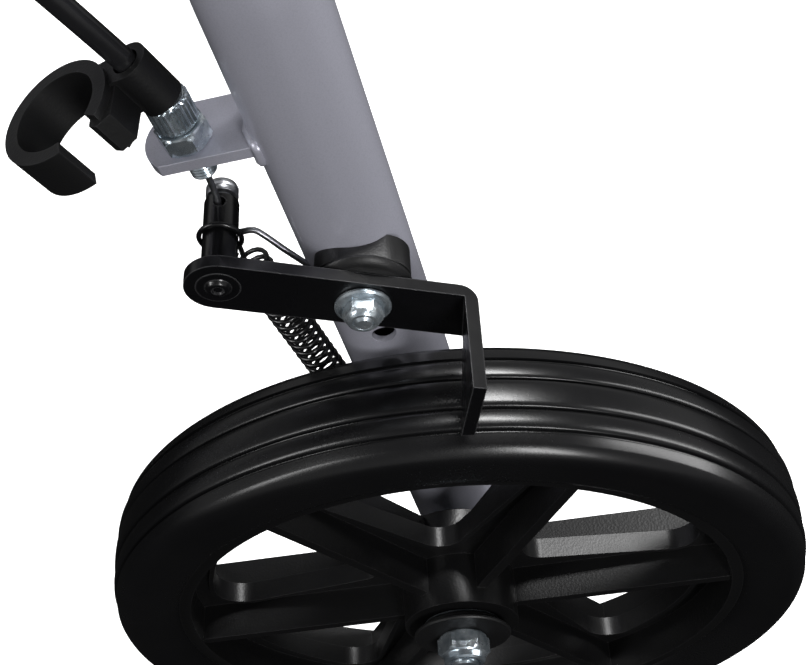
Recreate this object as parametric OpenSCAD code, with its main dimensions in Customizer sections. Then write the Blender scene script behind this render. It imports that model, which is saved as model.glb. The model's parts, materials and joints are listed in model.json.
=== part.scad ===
// Knee scooter: four wheels, a tube frame, a padded knee rest, a folding steering
// column and one press brake on the left rear wheel.
// X points forward, Y to the rider's left, Z up. The origin is on the floor,
// midway between the front and rear tyres.

/* [Overall] */
// Distance between the rear and the front axles
wheelbase = 560; // [470:1:680]
// Distance between the middles of the two rear wheels
rear_track = 392; // [330:1:470]
// Distance between the middles of the two front wheels
front_track = 280; // [250:1:340]
// Height of the main beam's axis above the floor
beam_z = 345; // [320:1:380]
// Height of the fold hinge above the floor
fold_z = 545; // [530:1:640]
// Length of the column from the fold hinge to the handlebar
column_len = 383; // [350:1:450]
// Width of the handlebar from end to end
bar_w = 386; // [360:1:440]

/* [Wheels] */
// Diameter of a tyre
wheel_d = 200; // [190:1:210]
// Width of a tyre
tyre_w = 31.8; // [30:0.1:36]
// Radius where the tyre meets the core
rim_r = 81.3; // [80:0.1:84]
// Thickness of the core's rim
rim_t = 3.3; // [2.5:0.1:5]
// Width of the core's rim
rim_w = 25.6; // [24:0.1:28]
// Radius of the hub barrel
hub_r = 16.5; // [15:0.1:19]
// Thickness of a rib
rib_t = 3; // [2:0.1:5]
// Width of a rib along the axle
rib_w = 24; // [16:0.5:24]
// Thickness of the web between the ribs
web_t = 3; // [2:0.1:5]
// Angle of the first rib, from straight up towards the front
rib_phase = 41; // [0:1:59]
// Diameter of an axle bolt
axle_d = 8; // [7:0.1:9.6]
// Outside diameter of a wheel bearing
bearing_d = 22; // [20:0.5:24]
// Width of a wheel bearing
bearing_w = 7; // [5:0.5:8]

/* [Frame] */
// Diameter of the hoop tubes that carry the wheels
leg_d = 25.4; // [22:0.1:28]
// Wall of the hoop tubes
leg_wall = 1.8; // [1.5:0.1:3]
// Forward lean of the rear legs
leg_lean = 12; // [8:0.5:16]
// Distance from a wheel's middle to the axis of its leg
leg_gap = 29.7; // [29.5:0.1:34]
// Bend radius of the hoops, to the tube's axis
hoop_bend = 50; // [40:1:60]
// Height of the front hoop's crossbar above the floor
front_rise = 245; // [236:1:250]
// Diameter of the main beam
beam_d = 44.5; // [42:0.1:50]
// Wall of the main beam
beam_wall = 2; // [1.5:0.1:3]
// Outside diameter of the head tube
head_d = 40; // [38:0.1:46]
// Length of the head tube
head_len = 100; // [90:1:110]
// Diameter of the steerer
steerer_d = 28.6; // [25.4:0.1:30]

/* [Knee rest] */
// Place of the seat post along the frame
seat_x = -70; // [-90:1:-50]
// Diameter of the seat post
post_d = 28.6; // [24:0.1:35]
// Height of the knee plate's underside
plate_z = 452; // [445:1:465]
// Length of a cushion
pad_len = 330; // [280:1:330]
// Width of one cushion
pad_w = 84; // [70:1:86]
// Thickness of a cushion
pad_h = 44; // [35:1:46]
// Gap between the two cushions
pad_gap = 4; // [3:0.5:10]

/* [Column] */
// Rearward lean of the column
column_lean = 12; // [8:0.5:14]
// Diameter of the outer column tube
column_d = 31.8; // [27:0.1:38.4]
// Wall of the outer column tube
column_wall = 2; // [1.5:0.1:2.5]
// Length of the outer column tube, from the fold hinge
column_top = 215; // [200:1:240]
// Diameter of the handlebar tube
bar_d = 22; // [20:0.1:24]
// Diameter of a grip
grip_d = 32; // [28:0.5:34]
// Length of a grip
grip_len = 115; // [100:1:120]

/* [Brake] */
// Distance of the arm's pivot ahead of the axle
pivot_x = 24.8; // [23:0.1:27]
// Height of the arm's pivot above the axle
pivot_z = 124.6; // [124:0.1:130]
// Distance from the arm's pivot to its anchor pin
arm_len = 32.1; // [31:0.1:34]
// Rise of the arm towards the front
arm_rise = 14.7; // [12:0.1:16]
// Width of the arm
arm_w = 15; // [13:0.1:16]
// Thickness of the arm
arm_t = 3; // [2.5:0.1:3.5]
// Diameter of the anchor pin's barrel
anchor_d = 8.6; // [7:0.1:9]
// Outside diameter of the return spring
spring_d = 9; // [7:0.1:10]
// Diameter of the cable housing
housing_d = 5; // [4:0.1:5.5]
// Lean of the cable adjuster towards the front
adjuster_lean = 14; // [10:0.5:18]
// Lean of the clip and of the housing in it
clip_lean = 30; // [26:0.5:34]
// Bore of the clip's open ring
clip_bore = 19.4; // [18:0.1:22]

/* [Hidden] */
$fn = 64;
fit = 0.05;             // running clearance on a radius
gap = 0.3;              // clearance between bodies that pass each other
wheel_r = wheel_d / 2;
rear_x = -wheelbase / 2;
front_x = wheelbase / 2;
axle_r = axle_d / 2;
leg_r = leg_d / 2;
rim_in = rim_r - rim_t;
hub_in = -12.6;         // inboard and outboard ends of the hub barrel
hub_out = 16.3;
hex_13 = 13 / cos(30);  // corner diameters of the hexagons used
hex_10 = 10 / cos(30);
rear_rise = (beam_z - wheel_r) / cos(leg_lean);
rear_top_x = rear_x + rear_rise * sin(leg_lean);
head_low = beam_z - 60;
head_top = head_low + head_len;
cup_h = 4;
socket_r = post_d / 2 + fit + 2.2;
socket_low = beam_z - 60;
socket_top = beam_z + 55;
post_low = beam_z - 75;
seat_pin_z = beam_z + 43;
pin_d = 6;
pad_y = pad_gap / 2 + pad_w / 2;
plate_t = 4;
knuckle_r = 20;
cheek_in = column_d / 2 + gap;
cheek_out = cheek_in + 4;
clevis_base = fold_z - 50;
fold_pin_s = 14.3;
stem_r = column_d / 2 - column_wall - fit;
stem_low = 110;
clamp_low = column_top - 24;
clamp_x = column_d / 2 + 11.1;  // clamp bolt ahead of the column axis
eye_y = -column_d / 2 - 0.6;    // cam axis beside the column axis
arm_out = -8.5;         // outboard face of the brake arm, from the wheel's middle
arm_in = arm_out - arm_t;
pivot_r = 3;
wire_d = 1.5;
adjuster_foot = [57.7, -leg_gap, 146.7];
adjuster_len = 22;
clip_len = 13;
lever_pivot = [32, 60];
lock_pivot = [26, 67];

// The cable housing's route: along the frame, to the steerer, past the fold
// hinge and, in the column's own frame, up to the brake lever.
frame_route = [
    [-216.5, 166.3, 268.8], [-210.4, 166.3, 279.4], [-199.6, 166.3, 296], [-187, 165, 313],
    [-168, 157, 331], [-143, 135, 344], [-114, 97, 349], [-85, 56, 348], [-56, 33, 345.5],
    [-30, 28, 345], [40, 28, 345], [110, 28, 345], [180, 28, 345], [234.5, 28, 345]];
steer_route = [
    [235.5, 28, 345], [249, 31, 352], [262, 36, 372], [270, 38, 400], [276, 35, 430],
    [279, 29, 462], [280, 25.2, 486], [280, 24.6, 498], [280, 24.6, 507]];
fold_route = [
    [280, 24.6, 508], [282, 25.5, 519], [288, 30, 536], [290, 33, 553], [285, 31, 568],
    [277, 25, 581], [270.5, 20.8, 591], [268.3, 20.4, 600.3]];
bar_route = [
    [0, 20.4, 57.5], [0, 20.4, 75], [2, 22, 110], [8, 24, 150], [15, 25, 190], [22, 24, 235],
    [28, 21, 280], [32, 18, 318], [33.5, 18, 340], [34, 20.5, 357], [33, 25.5, 371], [31, 32, 380],
    [30, 37.5, 383], [30, 43.5, 383]];
// Beside the left rear wheel, from its centre
wire_route = [
    [59.4, -29.7, 152], [57.7, -29.7, 146.7], [56.4, -29.7, 139], [55.9, -29.7, 132.7],
    [55.4, -29.7, 127.2], [50.5, -24.8, 126.5], [45, -22.3, 123.5], [40, -21.1, 120.5]];
spring_top = [50.6, -25, 121];
spring_end = [33, -25, 64];
spring_stud = [29.5, -27.5, 46];

// ---- helpers

module y_cyl(r, y0, y1) translate([0, y0, 0]) rotate([-90, 0, 0]) cylinder(r = r, h = y1 - y0);

module y_hex(d, y0, y1) translate([0, y0, 0]) rotate([-90, 0, 0]) cylinder(d = d, h = y1 - y0, $fn = 6);

module y_ring(r, bore, y0, y1) difference() {
    y_cyl(r, y0, y1);
    y_cyl(bore, y0 - 1, y1 + 1);
}

module ring(r, bore, h) difference() {
    cylinder(r = r, h = h);
    translate([0, 0, -1]) cylinder(r = bore, h = h + 2);
}

// A round bar between two points
module rod(p, q, r) {
    v = q - p;
    translate(p) rotate([0, acos(v[2] / norm(v)), atan2(v[1], v[0])]) cylinder(r = r, h = norm(v));
}

function unit(v) = v / norm(v);
function arc(c, r, a0, a1, n) = [for (i = [0:n]) let (a = a0 + (a1 - a0) * i / n)
    [c[0] + r * cos(a), c[1] + r * sin(a)]];
function round_box(x, y, r) = concat(
    arc([x / 2 - r, y / 2 - r], r, 0, 90, 6), arc([r - x / 2, y / 2 - r], r, 90, 180, 6),
    arc([r - x / 2, r - y / 2], r, 180, 270, 6), arc([x / 2 - r, r - y / 2], r, 270, 360, 6));

// A cord is a tube swept along its points, with one more ring between each pair
function between(p, i) =
    (9 * (p[i] + p[i + 1]) - p[max(i - 1, 0)] - p[min(i + 2, len(p) - 1)]) / 16;
function refine(p) = [for (i = [0:2 * len(p) - 2])
    i % 2 == 0 ? p[i / 2] : between(p, (i - 1) / 2)];
function tangent(p, i) = unit(p[min(i + 1, len(p) - 1)] - p[max(i - 1, 0)]);
function across(t, s) = unit(s - t * (s * t));
function sides(p, s, i = 0) = i == len(p) ? [] :
    let (n = across(tangent(p, i), s)) concat([n], sides(p, n, i + 1));

module cord(points, d, count = 12) {
    p = refine(points);
    n = sides(p, [0.1, 1, 0]);
    last = len(p) - 1;
    rings = [for (i = [0:last], k = [0:count - 1]) let (a = 360 * k / count)
        p[i] + d / 2 * (cos(a) * n[i] + sin(a) * cross(tangent(p, i), n[i]))];
    walls = [for (i = [0:last - 1], k = [0:count - 1]) let (m = (k + 1) % count)
        [i * count + k, (i + 1) * count + k, (i + 1) * count + m, i * count + m]];
    ends = [[for (k = [0:count - 1]) k], [for (k = [count - 1:-1:0]) last * count + k]];
    polyhedron(points = rings, faces = concat(walls, ends));
}

// The column's own frame: its Z runs up the column from the fold hinge
module on_column(s = 0) translate([front_x, 0, fold_z]) rotate([0, -column_lean, 0])
    translate([0, 0, s]) children();

// The frame of the left rear wheel: its centre
module at_brake() translate([rear_x, rear_track / 2, wheel_r]) children();

// Four wheels: rear or front, left as drawn or right as its mirror
module at_wheel(x, track, side) translate([x, side * track / 2, wheel_r])
    mirror([0, side < 0 ? 1 : 0, 0]) children();

// Both ends of an axle line
module both_sides(x, track) for (side = [1, -1]) at_wheel(x, track, side) children();

// ---- wheels

function tyre_half() = concat(
    [[rim_r, rim_w / 2], [rim_r + 1.6, rim_w / 2 + 1.7], [rim_r + 5, tyre_w / 2 - 0.5]],
    arc([wheel_r - 6.6, tyre_w / 2 - 5.4], 5.4, 90, 24, 6),
    [[wheel_r - 1.1, 10.3], [wheel_r - 1.9, 10], [wheel_r - 1.9, 9.5], [wheel_r - 0.8, 9.2],
     [wheel_r - 0.3, 6.9], [wheel_r - 0.5, 4.5], [wheel_r - 1.2, 4.25], [wheel_r - 1.2, 3.85],
     [wheel_r - 0.3, 3.6], [wheel_r - 0.05, 1.8], [wheel_r, 0]]);

module tyre() {
    half = tyre_half();
    outline = concat(half, [for (i = [len(half) - 2:-1:0]) [half[i][0], -half[i][1]]]);
    color("#1b1b1d") rotate([-90, 0, 0]) rotate_extrude($fn = 128) polygon(outline);
}

// A window between two ribs: three rounded corners and an outer edge along the rim
module window(grow) {
    apex = [31, 0];
    corner_at = 18.7;
    corner_ring = rim_in - 14;
    corner = corner_ring * [cos(corner_at), sin(corner_at)];
    apex_r = 6 + grow;
    corner_r = 8 + grow;
    reach = corner - apex;
    side = atan2(reach[1], reach[0]) + acos((apex_r - corner_r) / norm(reach));
    polygon(concat(
        arc(apex, apex_r, side, 360 - side, 6),
        arc([corner[0], -corner[1]], corner_r, 360 - side, 360 - corner_at, 6),
        arc([0, 0], corner_ring + corner_r, -corner_at, corner_at, 6),
        arc(corner, corner_r, corner_at, side, 6)));
}

module windows(grow, depth) for (k = [0:5]) rotate([0, rib_phase + 30 + 60 * k, 0])
    rotate([90, -90, 0]) linear_extrude(height = depth, center = true) window(grow);

module core() color("#222224") difference() {
    union() {
        y_ring(rim_r, rim_in, -rim_w / 2, rim_w / 2);
        difference() {
            union() {
                y_cyl(rim_in + 0.5, -web_t / 2, web_t / 2);
                windows(1.4, web_t + 3);
            }
            windows(0, web_t + 5);
        }
        for (k = [0:5]) rotate([0, rib_phase + 60 * k, 0])
            translate([-rib_t / 2, -rib_w / 2, hub_r - 1.5]) cube([rib_t, rib_w, rim_in - hub_r + 2]);
        y_cyl(hub_r, hub_in, hub_out);
    }
    y_cyl(axle_r + 3, hub_in - 1, hub_out + 1);
    y_cyl(bearing_d / 2, hub_in - 1, hub_in + bearing_w);
    y_cyl(bearing_d / 2, hub_out - bearing_w, hub_out + 1);
}

module bearings() color("#9aa0a6") for (y = [hub_in, hub_out - bearing_w]) difference() {
    y_ring(bearing_d / 2, axle_r + fit, y, y + bearing_w);
    for (face = [y, y + bearing_w]) y_ring(bearing_d / 2 - 2, axle_r + 2.5, face - 0.4, face + 0.4);
}

// Where each axle bolt ends, from the wheel's middle
bolt_head_y = -leg_gap - leg_r;
nut_y = 20.1;

module axle_bolt() color("#c8ccd2") {
    y_cyl(axle_r, bolt_head_y - 0.5, 29);
    y_hex(hex_13, bolt_head_y - 5.3, bolt_head_y);
}

module axle_nut() color("#c8ccd2") difference() {
    union() {
        y_hex(hex_13, nut_y, nut_y + 6.4);
        y_cyl(6, nut_y + 6.4, nut_y + 8);
    }
    y_cyl(axle_r, nut_y - 1, nut_y + 9);
}

// The spacer between leg and hub, and the dished washer under the nut
module axle_washer(lean) color("#19191b") {
    difference() {
        y_ring(8.5, axle_r, -leg_gap, hub_in - gap);
        rotate([0, lean, 0]) translate([0, -leg_gap, -20]) cylinder(r = leg_r, h = 40);
    }
    y_ring(14.5, axle_r, hub_out + gap, hub_out + 2);
    y_ring(9.5, axle_r, hub_out + 2, nut_y);
}

// ---- frame

// A hoop: two legs, two bends and a crossbar, standing on its axle line
module hoop_path(r, half, rise, foot) {
    for (m = [0, 1]) mirror([0, m, 0]) {
        translate([0, half, -foot]) cylinder(r = r, h = rise - hoop_bend + foot);
        translate([0, half - hoop_bend, rise - hoop_bend]) rotate([90, 0, 90])
            rotate_extrude(angle = 90) translate([hoop_bend, 0]) circle(r = r);
    }
    translate([0, 0, rise]) y_cyl(r, hoop_bend - half, half - hoop_bend);
}

module hoop(half, rise) difference() {
    hoop_path(leg_r, half, rise, 16);
    hoop_path(leg_r - leg_wall, half, rise, 13);
    y_cyl(axle_r, -half - 20, half + 20);
}

rear_half = rear_track / 2 - leg_gap;
front_half = front_track / 2 - leg_gap;

module rear_hoop() color("#8b8b9b") {
    difference() {
        translate([rear_x, 0, wheel_r]) rotate([0, leg_lean, 0]) hoop(rear_half, rear_rise);
        at_brake() {
            translate([pivot_x, 0, pivot_z]) y_cyl(pivot_r, -60, 0);
            translate([20.1, 0, 100.4]) y_cyl(3, -leg_gap, 0);
        }
    }
    at_brake() {
        rod(spring_stud - [9.5, 0, 0], spring_stud + [1.5, 0, 0], 1.5);
        rod(spring_stud + [1.4, 0, 0], spring_stud + [2.6, 0, 0], 2.8);
    }
}

module main_beam() color("#8b8b9b") difference() {
    union() {
        translate([rear_top_x, 0, beam_z]) rotate([0, 90, 0])
            cylinder(d = beam_d, h = front_x - rear_top_x);
        translate([0, 2, 0]) rotate([90, 0, 0]) linear_extrude(height = 4)
            polygon([[front_x - 75, beam_z - beam_d / 2 + 1], [front_x, beam_z - beam_d / 2 + 1],
                     [front_x, head_low + 4], [front_x - head_d / 2 - 4, head_low + 4]]);
    }
    translate([rear_top_x - 1, 0, beam_z]) rotate([0, 90, 0])
        cylinder(d = beam_d - 2 * beam_wall, h = front_x - rear_top_x + 2);
    translate([rear_top_x, 0, beam_z]) y_cyl(leg_r, -beam_d, beam_d);
    translate([front_x, 0, head_low - 1]) cylinder(d = head_d, h = head_len + 2);
    translate([seat_x, 0, socket_low - 1]) cylinder(r = socket_r, h = socket_top - socket_low + 2);
}

module head_tube() color("#8b8b9b") translate([front_x, 0, head_low]) ring(head_d / 2, head_d / 2 - 2.8, head_len);

module headset_cups() color("#2a2a2d") for (m = [0, 1])
    translate([front_x, 0, m == 0 ? head_low : head_top]) mirror([0, 0, 1 - m]) {
        ring(head_d / 2, steerer_d / 2 + fit, cup_h);
        translate([0, 0, -12]) ring(head_d / 2 - 2.8, steerer_d / 2 + fit, 12);
    }

module seat_socket() color("#8b8b9b") difference() {
    union() {
        translate([seat_x, 0, socket_low]) cylinder(r = socket_r, h = socket_top - socket_low);
        translate([seat_x, 0, seat_pin_z]) y_cyl(pin_d / 2 + 3, -socket_r - 16, -socket_r + 2);
    }
    translate([seat_x, 0, socket_low - 1]) cylinder(d = post_d + 2 * fit, h = socket_top - socket_low + 2);
    translate([seat_x, 0, seat_pin_z]) y_cyl(pin_d / 2 + fit, -socket_r - 20, 0);
}

// The adjuster's own frame: its foot on the axis, Z up the axis
module on_adjuster() translate(adjuster_foot) rotate([0, adjuster_lean, 0]) children();

module brake_tab() color("#8b8b9b") at_brake() difference() {
    on_adjuster() translate([0, 0, 7]) difference() {
        union() {
            translate([0, -1.3, 0]) cylinder(r = 9.8, h = 3);
            translate([-32, -11.1, 0]) cube([32, 17.2, 3]);
        }
        translate([-10, 6.1, -1]) cube([20, 8, 5]);
        translate([0, 0, -1]) cylinder(r = 3, h = 5);
    }
    rotate([0, leg_lean, 0]) translate([0, -leg_gap, 100]) cylinder(r = leg_r, h = 120);
}

module brake_pivot_bolt() color("#c8ccd2") at_brake() translate([pivot_x, 0, pivot_z]) {
    y_cyl(pivot_r, bolt_head_y - 1, -5);
    y_hex(hex_10, bolt_head_y - 4.5, bolt_head_y - 0.2);
}

module brake_pivot_nut() color("#c8ccd2") at_brake() translate([pivot_x, 0, pivot_z]) {
    y_ring(6.4, pivot_r, arm_out + 0.1, arm_out + 1.2);
    y_ring(4.6, pivot_r, arm_out + 1.2, arm_out + 4.6);
}

// The saddle that fits round the leg, and the disc between it and the arm
module pivot_washers() color("#19191b") at_brake() {
    difference() {
        translate([pivot_x, arm_in - 2.2, pivot_z]) rotate([90, 0, 0]) difference() {
            rotate(-leg_lean) linear_extrude(height = leg_gap - 8.3 + arm_in - 2.2)
                polygon(round_box(21, 20, 6));
            translate([0, 0, -1]) cylinder(r = pivot_r, h = leg_gap);
        }
        rotate([0, leg_lean, 0]) translate([0, -leg_gap, 100]) cylinder(r = leg_r, h = 60);
    }
    translate([pivot_x, 0, pivot_z]) y_ring(11.6, pivot_r, arm_in - 2.2, arm_in - 0.1);
}

module cable_adjuster() color("#c8ccd2") at_brake() on_adjuster() difference() {
    union() {
        cylinder(r = 3, h = 16);
        translate([0, 0, 15]) cylinder(r = 4.6, h = adjuster_len - 15);
    }
    for (k = [0:17]) rotate(20 * k) translate([4.7, 0, 15.6]) cylinder(r = 0.35, h = 5.8, $fn = 6);
    translate([0, 0, -1]) cylinder(r = 1.6, h = adjuster_len + 2);
}

module adjuster_nut() color("#c8ccd2") at_brake() on_adjuster() translate([0, 0, 10]) difference() {
    cylinder(d = hex_10, h = 4.6, $fn = 6);
    translate([0, 0, -1]) cylinder(r = 3, h = 7);
}

// The clip's own frame: on the housing just above the adjuster, Z along the housing
module on_clip() translate(frame_route[0]) rotate([0, clip_lean, 0]) children();

module cable_clip() color("#1d1d1f") on_clip() {
    centre = [16.2, 6];
    ring_r = clip_bore / 2 + 3.1;
    difference() {
        union() {
            cylinder(r = 5.6, h = clip_len);
            translate(centre) cylinder(r = ring_r, h = clip_len);
            translate([1, -3.2, 0]) cube([6, 8, clip_len]);
            translate([2.2, 4, 0]) cube([6.3, 10.5, clip_len]);
        }
        translate([0, 0, -1]) cylinder(d = housing_d + 0.8, h = clip_len + 2);
        translate([0, 0, -1]) cylinder(r = 5, h = 2.2);
        translate([centre[0], centre[1], -1]) cylinder(d = clip_bore, h = clip_len + 2);
        translate([centre[0], centre[1], -1]) linear_extrude(height = clip_len + 2)
            polygon(concat([[0, 0]], arc([0, 0], 2 * ring_r, 104, 148, 1)));
    }
}

module cable_guides() color("#1d1d1f") for (x = [-30, 110, 231]) difference() {
    union() {
        translate([x - 4, 28, beam_z]) rotate([0, 90, 0]) cylinder(r = 4.6, h = 8);
        translate([x - 4, beam_d / 2 - 6, beam_z - 3.5]) cube([8, 34 - beam_d / 2 - 3, 7]);
    }
    translate([x - 5, 28, beam_z]) rotate([0, 90, 0]) cylinder(d = housing_d + 0.2, h = 10);
    translate([x - 5, 0, beam_z]) rotate([0, 90, 0]) cylinder(d = beam_d, h = 10);
}

// ---- steering

module front_hoop() color("#8b8b9b") translate([front_x, 0, wheel_r]) hoop(front_half, front_rise - wheel_r);

module steerer() color("#8b8b9b") difference() {
    union() {
        translate([front_x, 0, front_rise]) cylinder(d = steerer_d, h = clevis_base - front_rise);
        translate([front_x, 0, head_low - cup_h - gap - 4]) cylinder(r = head_d / 2 - 2, h = 4);
    }
    translate([front_x, 0, front_rise - 1]) cylinder(d = steerer_d - 5, h = clevis_base - front_rise + 2);
    translate([front_x, 0, front_rise]) y_cyl(leg_r, -30, 30);
}

module headset_nut() color("#2a2a2d") translate([front_x, 0, head_top + cup_h + gap]) difference() {
    cylinder(d = head_d - 3, h = 9, $fn = 8);
    translate([0, 0, -1]) cylinder(d = steerer_d, h = 11);
}

module fold_clevis() color("#8b8b9b") difference() {
    union() {
        translate([front_x - 17, -cheek_out, clevis_base]) cube([34, 2 * cheek_out, 16]);
        for (y = [cheek_in, -cheek_out]) {
            translate([front_x - 20, y, clevis_base]) cube([40, cheek_out - cheek_in, fold_z - clevis_base]);
            translate([front_x, 0, fold_z]) y_cyl(knuckle_r, y, y + cheek_out - cheek_in);
        }
        on_column(fold_pin_s) y_cyl(pin_d / 2 + 2.5, -cheek_out - 12, -cheek_in);
        translate([front_x, 24.6, clevis_base + 4]) cylinder(r = 4.6, h = 8);
        translate([front_x - 2, cheek_out - 1, clevis_base + 4]) cube([4, 3, 8]);
    }
    translate([front_x, 0, fold_z]) y_cyl(axle_r, -cheek_out - 1, cheek_out + 1);
    on_column(fold_pin_s) y_cyl(pin_d / 2 + fit, -cheek_out - 13, -cheek_in + 1);
    translate([front_x, 24.6, clevis_base]) cylinder(d = housing_d + 0.2, h = 20);
}

module fold_bolt() color("#c8ccd2") translate([front_x, 0, fold_z]) {
    y_cyl(axle_r, -cheek_out - 8, cheek_out + 1);
    y_hex(hex_13, cheek_out + 0.1, cheek_out + 5);
    y_ring(6.4, axle_r, -cheek_out - 6.6, -cheek_out - 0.1);
}

// A spring pin with its knob, drawn along -Y from the tip
module pull_pin(tip, sleeve) {
    y_cyl(pin_d / 2, -sleeve - 4, -tip);
    y_cyl(9, -sleeve - 14, -sleeve - 1);
}

module fold_pin() color("#1d1d1f") on_column(fold_pin_s) pull_pin(column_d / 2 + gap, cheek_out + 12);

// ---- column

module column_tube() color("#8b8b9b") on_column() difference() {
    union() {
        y_cyl(knuckle_r, -column_d / 2, column_d / 2);
        cylinder(d = column_d, h = column_top);
        translate([0, 20.4, 55]) cylinder(r = 4.6, h = 10);
        translate([-1.5, column_d / 2 - 1.5, 55]) cube([3, 4, 10]);
    }
    translate([0, 0, 26]) cylinder(r = stem_r + fit, h = column_top);
    translate([0, 20.4, 50]) cylinder(d = housing_d + 0.2, h = 20);
    translate([0, -1.2, clamp_low - 2]) cube([column_d, 2.4, column_top]);
    y_cyl(axle_r + fit, -column_d, column_d);
    translate([0, 0, fold_pin_s]) y_cyl(pin_d / 2 + 0.2, -column_d, -6);
}

module column_clamp() color("#2a2a2d") on_column(clamp_low) difference() {
    union() {
        cylinder(r = column_d / 2 + 3.6, h = 26);
        translate([12, -10, 0]) cube([22, 20, 26]);
    }
    translate([0, 0, -1]) cylinder(d = column_d, h = 25);
    translate([0, 0, 20]) cylinder(r = stem_r + fit, h = 10);
    translate([0, -1.2, -1]) cube([40, 2.4, 28]);
    translate([clamp_x, 0, 13]) y_cyl(3, -11, 11);
}

module clamp_bolt() color("#c8ccd2") on_column(clamp_low + 13) translate([clamp_x, 0, 0]) {
    y_cyl(3, eye_y + 3, 17);
    y_hex(hex_10, 10.1, 15);
    translate([0, eye_y, -3]) ring(4.5, 2.5 + fit, 6);
}

// The cam lever: two cheeks on a pin through the bolt's eye, and a blade
module clamp_lever() color("#1d1d1f") on_column(clamp_low + 13) translate([clamp_x, eye_y, 0]) {
    for (z = [-9, 3.3]) translate([0, 0, z]) cylinder(r = 6, h = 5.7);
    translate([0, 0, -9]) cylinder(r = 2.5, h = 18);
    translate([-44, -8.1, -9]) cube([46, 3.2, 18]);
    translate([-44, -6.5, -9]) cylinder(r = 1.6, h = 18);
}

// ---- handlebar

module stem_tube() color("#b9bdc4") on_column() difference() {
    translate([0, 0, stem_low]) cylinder(r = stem_r, h = column_len - stem_low);
    translate([0, 0, stem_low - 1]) cylinder(r = stem_r - 2.2, h = column_len);
    translate([0, 0, column_len]) y_cyl(bar_d / 2, -30, 30);
}

module handlebar() color("#b9bdc4") on_column(column_len) y_ring(bar_d / 2, bar_d / 2 - 2, 3 - bar_w / 2, bar_w / 2 - 3);

module grips() color("#1d1d1f") on_column(column_len) for (m = [0, 1]) mirror([0, m, 0]) difference() {
    union() {
        y_cyl(grip_d / 2, bar_w / 2 - grip_len, bar_w / 2);
        y_cyl(grip_d / 2 + 3, bar_w / 2 - grip_len, bar_w / 2 - grip_len + 4);
    }
    y_cyl(bar_d / 2, bar_w / 2 - grip_len - 1, bar_w / 2 + 1);
}

module lever_perch() color("#2a2a2d") on_column(column_len) difference() {
    union() {
        y_cyl(bar_d / 2 + 4, 50, 66);
        translate([bar_d / 2 - 1, 50, -8]) cube([12, 16, 16]);
        translate([20, 46, -8]) cube([16, 5, 16]);
        for (z = [-8, 5.3]) translate([20, 46, z]) cube([20, 27, 2.7]);
        translate([30, 0, 0]) y_cyl(5, 39, 47);
        translate([lever_pivot[0], lever_pivot[1], -8]) cylinder(r = 3, h = 16);
    }
    y_cyl(bar_d / 2, 49, 67);
    translate([30, 0, 0]) y_cyl(housing_d / 2 + 0.3, 38, 44);
    translate([30, 0, 0]) y_cyl(1.2, 38, 52);
    translate([lock_pivot[0], lock_pivot[1], 5]) cylinder(r = 2 + fit, h = 5);
}

module brake_lever() color("#2a2a2d") on_column(column_len) difference() {
    union() {
        translate([lever_pivot[0], lever_pivot[1], -4.9]) cylinder(r = 7, h = 9.8);
        translate([0, 0, -4.5]) linear_extrude(height = 9)
            polygon([[26, 64], [40, 80], [50, 102], [55, 130], [58, 162],
                     [66, 162], [63, 130], [58, 102], [48, 76], [38, 57]]);
        translate([62, 163, -4.5]) cylinder(r = 7, h = 9);
    }
    translate([lever_pivot[0], lever_pivot[1], -6]) cylinder(r = 3 + fit, h = 12);
}

module park_lock() color("#b03a2e") on_column(column_len) translate([lock_pivot[0], lock_pivot[1], 0]) {
    translate([0, 0, 5.6]) cylinder(r = 2, h = 3);
    translate([0, 0, 8.3]) cylinder(r = 4.5, h = 2.5);
    translate([0, -4, 8.3]) cube([19, 8, 2.5]);
    translate([14, -4, 8.3]) cube([5, 8, 5.5]);
}

// ---- knee rest

module seat_post() color("#b9bdc4") {
    difference() {
        translate([seat_x, 0, post_low]) cylinder(d = post_d, h = plate_z - post_low);
        translate([seat_x, 0, post_low - 1]) cylinder(d = post_d - 4, h = plate_z - post_low - 10);
        for (k = [-4:2]) translate([seat_x, 0, seat_pin_z + 20 * k]) y_cyl(pin_d / 2 + 0.3, -post_d, 0);
    }
    translate([seat_x - 45, -35, plate_z - 4]) difference() {
        cube([90, 70, 4]);
        translate([45, 35, -1]) cylinder(d = post_d - 1, h = 6);
    }
}

module seat_plate() color("#2a2a2d") translate([seat_x, 0, plate_z]) linear_extrude(height = plate_t)
    polygon(round_box(pad_len - 20, 2 * pad_y + pad_w - 20, 14));

module cushion(side) color("#26262a") translate([seat_x, side * pad_y, plate_z + plate_t])
    linear_extrude(height = pad_h) polygon(round_box(pad_len, pad_w, 22));

module seat_pin() color("#1d1d1f") translate([seat_x, 0, seat_pin_z]) pull_pin(post_d / 2 + gap, socket_r + 16);

// ---- brake

// The arm's own frame: its pivot, with X along the bar
module on_arm() at_brake() translate([pivot_x, 0, pivot_z]) rotate([0, -arm_rise, 0]) children();

// The frame of the bent flange, which stands upright and so undoes the bar's rise
module at_bend(back) translate([back, arm_in, 0]) rotate([0, arm_rise, 0]) children();

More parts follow.
